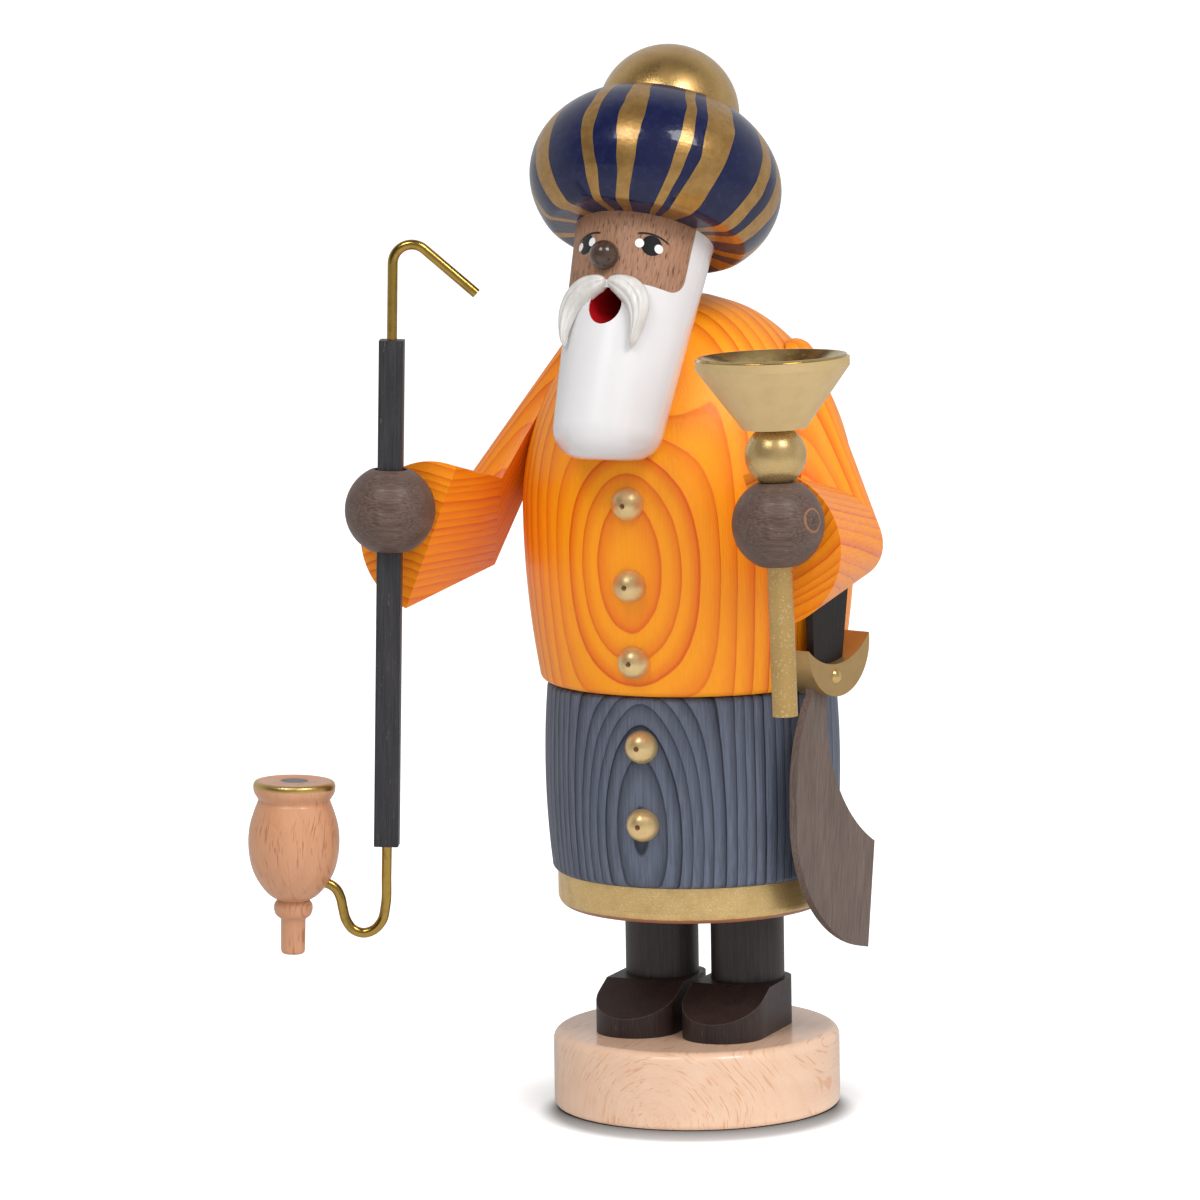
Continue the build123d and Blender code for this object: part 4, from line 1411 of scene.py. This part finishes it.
def new_piece(name: str, points: np.ndarray, faces: list[list[int]]) -> bpy.types.Object:
    """Make a smooth mesh from points in millimetres and link it into the scene.

    Args:
        name: the name of the new piece.
        points: its points, one row each.
        faces: the points of each face, turned outwards.

    Returns:
        The new piece.
    """
    mesh = bpy.data.meshes.new(name)
    mesh.from_pydata((points * METRES).tolist(), [], faces)
    mesh.polygons.foreach_set("use_smooth", np.ones(len(mesh.polygons), dtype=bool))
    mesh.update()
    piece = bpy.data.objects.new(name, mesh)
    bpy.context.scene.collection.objects.link(piece)
    return piece


def closed_tube(name: str, rings: np.ndarray, first: np.ndarray, last: np.ndarray) -> bpy.types.Object:
    """Make a closed mesh from a row of rings and a point at each end.

    Each ring is joined to the next by quads and each end ring to its point by triangles; the faces are
    turned over if the enclosed volume, a sixth of the sum of triple products, comes out negative.

    Args:
        name: the name of the new piece.
        rings: points in millimetres, by ring and place round it.
        first: the point before the first ring.
        last: the point after the last ring.

    Returns:
        The new piece, linked into the scene.
    """
    count, round_count = rings.shape[:2]
    points = np.concatenate([rings.reshape(-1, 3), first, last])
    index = np.arange(count * round_count).reshape(count, round_count)
    ahead = np.roll(index, -1, axis=1)
    quads = np.stack([index[:-1], ahead[:-1], ahead[1:], index[1:]], axis=-1).reshape(-1, 4)
    start = np.stack([ahead[0], index[0], np.full(round_count, count * round_count)], axis=-1)
    close = np.stack([index[-1], ahead[-1], np.full(round_count, count * round_count + 1)], axis=-1)
    corners = np.concatenate([quads[:, [0, 1, 2]], quads[:, [0, 2, 3]], start, close])
    a, b, c = (points[corners[:, k]] for k in range(3))
    if np.einsum("ij,ij->i", a, np.cross(b, c)).sum() < 0.0:
        quads, start, close = quads[:, ::-1], start[:, ::-1], close[:, ::-1]
    return new_piece(name, points, quads.tolist() + start.tolist() + close.tolist())


def closed_ring(name: str, grid: np.ndarray) -> bpy.types.Object:
    """Make a mesh that closes both ways.

    Each point is joined by a quad to the next one round the section and the next one round the ring.

    Args:
        name: the name of the new piece.
        grid: points in millimetres, by place round the ring and place round the section.

    Returns:
        The new piece, linked into the scene.
    """
    index = np.arange(grid.shape[0] * grid.shape[1]).reshape(grid.shape[:2])
    onward, ahead = np.roll(index, -1, axis=0), np.roll(index, -1, axis=1)
    quads = np.stack([index, onward, np.roll(onward, -1, axis=1), ahead], axis=-1)
    return new_piece(name, grid.reshape(-1, 3), quads.reshape(-1, 4).tolist())


@dataclass
class Arms(Assembly):
    """Sleeves, hands and the dowels in the wrists; the left side mirrors the right."""

    elbow: Triple = (-34.70, -13.30, 113.98)
    onward: Triple = (0.0210, -0.9982, 0.0555)
    upward: Triple = (0.3234, 0.4035, 0.8559)
    flat: Triple = (-0.9354, 0.0, 0.3535)
    pith_gap: float = 21.0
    stain: RingedWood = RingedWood(
        light=(1.0, 0.310, 0.007),
        dark=(0.77, 0.095, 0.003),
        ring=1.75,
        wander=0.9,
        relief=0.09,
        fibre_tone=0.12,
        roughness=0.40,
        lacquer=0.16,
    )
    bead: FineWood = FineWood(
        (0.160, 0.102, 0.080), (0.064, 0.038, 0.030), (0.36, 0.26, 0.21), fibre=0.34, pores=0.40, relief=0.06
    )
    plug_way: Triple = (0.955, -0.257, 0.152)
    plug_radius: float = 2.1

    def dress(self) -> None:
        """Paint sleeves, hands and wrist dowels."""
        for side in Side:
            word = side.name.lower()
            mirror = np.array([-side.value, 1.0, 1.0])
            for name, run in ((f"forearm_{word}", self.onward), (f"upper_arm_{word}", self.upward)):
                along, flat = np.asarray(run) * mirror, np.asarray(self.flat) * mirror
                across = unit(np.cross(along, flat))
                heart = np.asarray(self.elbow) * mirror + across * self.pith_gap
                grain = Grain(triple(heart), triple(along), triple(-across))
                self.paint(self.stain.make(f"{name}_orange", grain), name)
            hand = f"hand_{word}"
            plug: Optional[Plug] = None
            if side is Side.LEFT:
                plug = Plug(triple(self.middle(hand)), self.plug_way, self.plug_radius)
            grain = self.cut(hand, (3.0, 8.0, 22.0), (0.93, 0.36, -0.04), (0.0, -0.3, -1.0))
            self.paint(self.bead.make(f"{hand}_brown", grain, plug), hand)
            dowel = f"hand_dowel_{word}"
            grain = self.cut(dowel, (0.0, 0.0, 9.0), BACK, DOWN)
            self.paint(Beech(flecks=0.4, lacquer=0.2).make(f"{dowel}_beech", grain), dowel)


@dataclass
class Torch(Assembly):
    """The candle torch in the left hand: rod, ball, cup and the brass dish for the candle."""

    axis: Triple = (-0.02618, 0.0, 0.99966)
    rim_centre: Triple = (37.913, -53.882, 152.10)
    lip_radius: float = 13.6
    lip_half_width: float = 0.58
    lip_half_height: float = 0.78
    lip_drop: float = 0.62
    lip_round: int = 192
    lip_section: int = 24

    def build(self) -> None:
        """Roll the bright lip round the top of the cup.

        The first parameter goes round the torch's axis and the second round an upright oval section: a
        point is the rim's centre plus the lip's radius and the oval's width outwards and its height up.
        """
        axis = unit(self.axis)
        first = unit(np.cross(BACK, axis))
        second = np.cross(axis, first)
        turn = full_turn(self.lip_round)[:, None, None]
        section = full_turn(self.lip_section)[None, :, None]
        outward = np.cos(turn) * first + np.sin(turn) * second
        reach = self.lip_radius + self.lip_half_width * np.cos(section)
        high = self.lip_half_height * np.sin(section) - self.lip_drop
        lip = closed_ring("torch_cup_lip", np.asarray(self.rim_centre) + reach * outward + high * axis)
        brass = Metal((0.80, 0.58, 0.22), (0.52, 0.34, 0.11), 0.15)
        lip.data.materials.append(brass.make("lip_brass", self.axis))
        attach(lip, Body.FIGURE.value)
        LOG.info("%s rolled with %d faces", lip.name, len(lip.data.polygons))

    def dress(self) -> None:
        """Paint the torch."""
        rod = GoldPaint(tone=(0.60, 0.39, 0.14), flake=0.24, roughness=0.34, sparkle=0.8)
        self.paint(rod.make("torch_rod_gold"), "torch_rod")
        ball = GoldPaint(tone=(0.62, 0.435, 0.19), thin=(0.42, 0.265, 0.10), roughness=0.20, sparkle=0.2)
        self.paint(ball.make("torch_ball_gold"), "torch_ball")
        cup = GoldPaint(
            tone=(0.73, 0.535, 0.265),
            thin=(0.64, 0.45, 0.205),
            metal=0.6,
            roughness=0.40,
            lacquer=0.1,
            sparkle=0.0,
            turned=0.5,
        )
        self.paint(cup.make("torch_cup_gold"), "torch_cup")
        dish = Metal((0.62, 0.45, 0.17), (0.40, 0.26, 0.09), 0.12)
        self.paint(dish.make("dish_brass", self.axis), "candle_insert")


@dataclass
class Sabre(Assembly):
    """The flat sabre at the left side: blade, grip, guard and the nail through it."""

    along: Triple = (0.06, 0.10, 0.99)
    blade: FineWood = FineWood(
        (0.180, 0.132, 0.110), (0.088, 0.060, 0.048), (0.34, 0.26, 0.22), fibre=0.26, pores=0.14, relief=0.04
    )
    grip: FineWood = FineWood((0.017, 0.011, 0.010), (0.007, 0.004, 0.004), (0.12, 0.09, 0.08), pores=0.15)

    def dress(self) -> None:
        """Paint the sabre."""
        for name, stain in (("sabre_blade", self.blade), ("sabre_grip", self.grip)):
            grain = self.cut(name, (24.0, 6.0, 0.0), self.along, (-1.0, 0.0, 0.0))
            self.paint(stain.make(f"{name}_stain", grain), name)
        guard = GoldPaint(tone=(0.47, 0.305, 0.120), thin=(0.37, 0.225, 0.085), roughness=0.30, sparkle=0.12)
        self.paint(guard.make("guard_gold"), "sabre_guard")
        nail = Metal((0.76, 0.55, 0.22), (0.42, 0.27, 0.10), 0.22)
        self.paint(nail.make("nail_brass", LEFT), "guard_nail")


@dataclass
class Pipe(Assembly):
    """The long pipe that turns in the right hand: stem, two bent wires, the bowl and the plug in its top."""

    axis: Triple = (0.02891, 0.00984, 0.99953)
    side: Triple = (0.94621, 0.32212, -0.03054)
    bowl_top: Triple = (-57.477, -60.096, 70.369)
    rim_inner: float = 6.95
    rim_band: float = 1.25
    hole_radius: float = 2.62
    hole_depth: float = 6.0
    lip: Pairs = (
        (6.9, 0.0), (7.4, -0.14), (7.73, -0.6), (7.8, -1.25), (7.6, -2.3), (7.1, -3.15), (6.8, -3.7)
    )
    belly: Pairs = (
        (6.8, -3.7), (7.7, -6.1), (8.42, -8.7), (8.66, -11.2), (8.48, -14.2),
        (7.7, -17.4), (6.2, -20.1), (4.5, -22.0), (3.05, -22.9),
    )
    bead: Pairs = (
        (3.05, -22.9), (3.6, -23.7), (3.68, -24.7), (3.3, -25.8), (2.45, -26.5)
    )
    peg: Pairs = (
        (2.36, -26.7), (2.32, -32.4), (2.2, -33.0), (1.85, -33.28), (1.7, -33.3)
    )
    hole_edge: float = 0.03
    lip_gap: float = 0.05
    stem_end: Triple = (-41.076, -54.512, 57.834)
    wire_radius: float = 0.95
    wire_path: Pairs = (
        (0.0, 3.0), (0.0, -5.7), (-0.12, -11.6), (-0.8, -14.6), (-2.4, -16.4),
        (-4.3, -17.0), (-6.2, -16.4), (-7.6, -14.6), (-8.25, -12.3), (-8.75, -10.2),
        (-9.55, -8.7), (-10.8, -7.8), (-12.4, -7.4), (-14.0, -7.2),
    )
    bowl_round: int = 160
    bowl_steps: int = 28
    wire_round: int = 32
    wire_steps: int = 220
    stem: FineWood = FineWood(
        (0.043, 0.041, 0.046), (0.016, 0.015, 0.018), (0.17, 0.16, 0.16), fibre=0.22, pores=0.40, relief=0.05
    )
    plug: FineWood = FineWood((0.20, 0.175, 0.195), (0.11, 0.095, 0.105), (0.30, 0.26, 0.27))

    def build(self) -> None:
        """Turn the bowl and bend its wire, and put them in the place of their plain nodes."""
        for piece, name, slot in (
            (self.turn_bowl(), "pipe_bowl", "bowl_beech"),
            (self.bend_wire(), "bowl_wire", "brass"),
        ):
            piece.data.materials.append(self.nodes[name].material_slots[0].material)
            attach(piece, Body.PIPE.value)
            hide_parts(name)
            LOG.info("%s made with %d faces", piece.name, len(piece.data.polygons))

    def turn_bowl(self) -> bpy.types.Object:
        """Turn the bowl on its axis.

        The first parameter runs down a profile of radius and depth, from the hole for the plug over the lip,
        the belly and the bead to the peg, and the second turns it about the axis.

        Returns:
            The bowl.
        """
        hole, edge = self.hole_radius, self.hole_edge
        inside = [(hole, -self.hole_depth), (hole, -edge), (hole + edge, 0.0)]
        face = [(self.lip[0][0] - self.lip_gap, 0.0)]
        run = np.linspace(0.0, 1.0, self.bowl_steps)
        stretches = [smooth_curve(np.asarray(row), run) for row in (self.lip, self.belly, self.bead)]
        profile = np.concatenate([np.asarray(inside + face), *stretches, np.asarray(self.peg)])
        axis, first = np.asarray(self.axis), np.asarray(self.side)
        second = np.cross(axis, first)
        turn = full_turn(self.bowl_round)[None, :, None]
        out = np.cos(turn) * first + np.sin(turn) * second
        rings = np.asarray(self.bowl_top) + profile[:, None, :1] * out + profile[:, None, 1:] * axis
        ends = np.asarray(self.bowl_top) + np.array([[profile[0, 1]], [profile[-1, 1]]]) * axis
        return closed_tube("pipe_bowl_turned", rings, ends[:1], ends[1:])

    def bend_wire(self) -> bpy.types.Object:
        """Bend the wire from the stem to the bowl.

        The first parameter runs along a smooth curve in the plane of the stem and the bowl, and the second
        round a circle that stands square to the curve.

        Returns:
            The wire.
        """
        curve = smooth_curve(np.asarray(self.wire_path), np.linspace(0.0, 1.0, self.wire_steps))
        slope = np.gradient(curve, axis=0)
        slope = slope / np.linalg.norm(slope, axis=1, keepdims=True)
        axis, side = np.asarray(self.axis), np.asarray(self.side)
        middle = np.asarray(self.stem_end) + curve[:, :1] * side + curve[:, 1:] * axis
        across = -slope[:, 1:] * side + slope[:, :1] * axis
        turn = full_turn(self.wire_round)[None, :, None]
        circle = np.cos(turn) * across[:, None, :] + np.sin(turn) * np.cross(side, axis)
        rings = middle[:, None, :] + self.wire_radius * circle
        return closed_tube("bowl_wire_bent", rings, middle[:1], middle[-1:])

    def dress(self) -> None:
        """Paint the pipe."""
        stem_grain = self.cut("pipe_stem", (12.0, 20.0, 0.0), self.axis, (-0.5, -0.85, 0.0))
        self.paint(self.stem.make("stem_slate", stem_grain), "pipe_stem")
        brass = Metal((0.45, 0.29, 0.07), (0.23, 0.14, 0.034), 0.16)
        self.paint(brass.make("wire_brass", self.side), "mouthpiece_wire", "bowl_wire")
        bowl_grain = self.cut("pipe_bowl", (4.0, 15.0, 0.0), self.axis, FRONT)
        bowl = Beech(
            tone=(0.60, 0.300, 0.165),
            shade=(0.51, 0.235, 0.120),
            fleck=(0.36, 0.135, 0.060),
            fleck_size=(7.0, 0.16, 3.4),
            flecks=0.70,
            lacquer=0.25,
        )
        rim = RimGilding(self.bowl_top, self.axis, self.rim_inner, self.rim_band)
        self.paint(bowl.make("bowl_beech", bowl_grain, rim), "pipe_bowl")
        self.paint(self.plug.make("bowl_plug_grey", bowl_grain), "bowl_plug")


@dataclass
class Studio:
    """Floor, lamps, surroundings and the camera at the photograph's place."""

    floor_size: float = 30.0
    floor_grey: float = 0.86
    floor_mirrored: float = 0.90
    glow: float = 0.60
    glow_near: float = 26.5
    glow_far: float = 32.0
    glow_shift: float = 8.5
    # Painted contact shadow on the floor: how far the darkening reaches and how sharply it falls off.
    painted_shade_reach: float = 15.0
    painted_shade_power: float = 2.2
    side_mirrored: float = 0.45
    ambient: float = 0.46
    fill_level: float = 1.15
    fill_turn: float = 54.0
    fill_high: float = 10.0
    front_dark: float = 0.04
    dark_high: float = 31.0
    dark_edge: tuple[float, float] = (-0.15, 0.55)
    back_level: float = 0.60
    lamp_way: float = 0.80
    lamp_high: float = 49.0
    lamp_size: float = 0.25
    lamp_aim: float = 0.11
    lamps: Pairs = ((-12.0, 1.55), (56.0, 2.1))
    camera_turn: float = 21.5
    camera_away: float = 1.200
    camera_high: float = 0.261
    camera_pitch: float = 7.672
    camera_yaw: float = -0.839
    camera_roll: float = -0.92
    lens: float = 187.065
    sensor: float = 36.0
    camera_reach: float = 100.0

    def build(self) -> None:
        """Set up floor, lamps, surroundings and camera."""
        self.lay_floor()
        for turn, power in self.lamps:
            self.hang_lamp(turn, power)
        self.surround()
        self.place_camera()
        bpy.context.scene.view_settings.view_transform = "Standard"

    def lay_floor(self) -> None:
        """Lay a white floor that glows for the camera, less near the plinth, with a painted contact shadow at
        its foot.
        """
        corner = np.array([[-1.0, -1.0, 0.0], [1.0, -1.0, 0.0], [1.0, 1.0, 0.0], [-1.0, 1.0, 0.0]])
        mesh = bpy.data.meshes.new("floor")
        mesh.from_pydata((corner * self.floor_size / 2.0).tolist(), [], [(0, 1, 2, 3)])
        floor = bpy.data.objects.new("floor", mesh)
        bpy.context.scene.collection.objects.link(floor)
        work = Paintwork("floor_white")
        spot = work.place()
        middle = triple(np.asarray(self.way(self.camera_turn, 0.0)) * self.glow_shift)
        away = work.off_line(spot, middle, UP)
        seen = work.seen()
        level = away.rise(self.glow_near, self.glow_far) * seen
        # Painted shadow: ambient occlusion darkens the floor's own colour round the plinth, on camera rays
        # only.
        sky = work.node(
            "ShaderNodeAmbientOcclusion", sockets={"Distance": self.painted_shade_reach * METRES}, output="AO"
        )
        painted_shade = 1.0 - seen * (1.0 - sky**self.painted_shade_power)
        dimmed = 1.0 - (1.0 - self.floor_mirrored) * work.light_path("Is Glossy Ray")
        grey = painted_shade * self.floor_grey * dimmed
        diffuse = work.node("ShaderNodeBsdfDiffuse", sockets={"Color": work.vector(grey, grey, grey)})
        glow = work.node("ShaderNodeEmission", sockets={"Color": WHITE, "Strength": level * self.glow})
        both = work.node("ShaderNodeAddShader", sockets={0: diffuse, 1: glow})
        work.node("ShaderNodeOutputMaterial", sockets={"Surface": both})
        mesh.materials.append(work.material)
        LOG.info("floor laid")

    @staticmethod
    def way(turn: float, high: float) -> Triple:
        """Return the direction that lies turn degrees round from the front and high degrees up."""
        round_by, up_by = math.radians(turn), math.radians(high)
        return (math.sin(round_by) * math.cos(up_by), -math.cos(round_by) * math.cos(up_by), math.sin(up_by))

    def hang_lamp(self, turn: float, power: float) -> None:
        """Hang one square soft lamp that faces the figure.

        Args:
            turn: how far round from the front it hangs, in degrees.
            power: its power in watts.
        """
        way = Vector(self.way(turn, self.lamp_high))
        light = bpy.data.lights.new(f"lamp_{turn:.0f}", "AREA")
        light.shape = "SQUARE"
        light.size = self.lamp_size
        light.energy = power
        lamp = bpy.data.objects.new(light.name, light)
        lamp.location = way * self.lamp_way + Vector(UP) * self.lamp_aim
        lamp.rotation_euler = way.to_track_quat("Z", "Y").to_euler()
        bpy.context.scene.collection.objects.link(lamp)
        LOG.info("lamp at %.0f degrees", turn)

    def surround(self) -> None:
        """Put soft white light all round, stronger on one side, with a darker front in reflections."""
        world = bpy.data.worlds.new("studio")
        world.use_nodes = True
        bpy.context.scene.world = world
        work = Bench(world.node_tree)
        direction = work.node("ShaderNodeTexCoord", output="Generated")
        front = work.reach(direction, ORIGIN, self.way(self.camera_turn, self.dark_high))
        fill = work.reach(direction, ORIGIN, self.way(self.fill_turn, self.fill_high))
        fill = fill.greater(0.0) ** 2.0
        mirrored = self.front_dark + (self.back_level - self.front_dark) * front.fall(*self.dark_edge)
        seen = work.seen()
        glossy = work.light_path("Is Glossy Ray")
        soft = self.ambient + fill * self.fill_level
        mirrored = mirrored + fill * self.side_mirrored
        level = seen + (1.0 - seen) * (glossy * mirrored + (1.0 - glossy) * soft)
        sky = work.node("ShaderNodeBackground", sockets={"Color": WHITE, "Strength": level})
        work.node("ShaderNodeOutputWorld", sockets={"Surface": sky})
        LOG.info("surroundings lit")

    def place_camera(self) -> None:
        """Place the camera at the photograph's viewing angle, with its pitch, yaw and roll."""
        angles = (self.camera_turn, self.camera_pitch, self.camera_yaw, self.camera_roll)
        turn, pitch, yaw, roll = (math.radians(angle) for angle in angles)
        right = np.array([math.cos(turn), math.sin(turn), 0.0])
        ahead = np.array([-math.sin(turn), math.cos(turn), 0.0])
        right, ahead = (
            math.cos(yaw) * right - math.sin(yaw) * ahead,
            math.sin(yaw) * right + math.cos(yaw) * ahead,
        )
        top = np.asarray(UP)
        ahead, top = (
            math.cos(pitch) * ahead - math.sin(pitch) * top,
            math.sin(pitch) * ahead + math.cos(pitch) * top,
        )
        right, top = (
            math.cos(roll) * right + math.sin(roll) * top,
            math.cos(roll) * top - math.sin(roll) * right,
        )
        lens = bpy.data.cameras.new("camera")
        lens.lens = self.lens
        lens.sensor_width = self.sensor
        lens.clip_end = self.camera_reach
        camera = bpy.data.objects.new("camera", lens)
        spot = Vector((math.sin(turn), -math.cos(turn), 0.0)) * self.camera_away
        spot.z = self.camera_high
        facing = Matrix(np.stack([right, top, -ahead], axis=1).tolist()).to_4x4()
        camera.matrix_world = Matrix.Translation(spot) @ facing
        bpy.context.scene.collection.objects.link(camera)
        bpy.context.scene.camera = camera
        LOG.info("camera placed")


def main() -> None:
    """Dress the figure and set up the studio."""
    logging.basicConfig(level=logging.INFO, format="%(name)s: %(message)s")
    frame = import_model()
    for kind in (Stand, Coat, Head, Arms, Torch, Sabre, Pipe):
        sub_assembly = kind(frame["nodes"])
        sub_assembly.dress()
        sub_assembly.build()
    Studio().build()


if __name__ == "__main__":
    main()
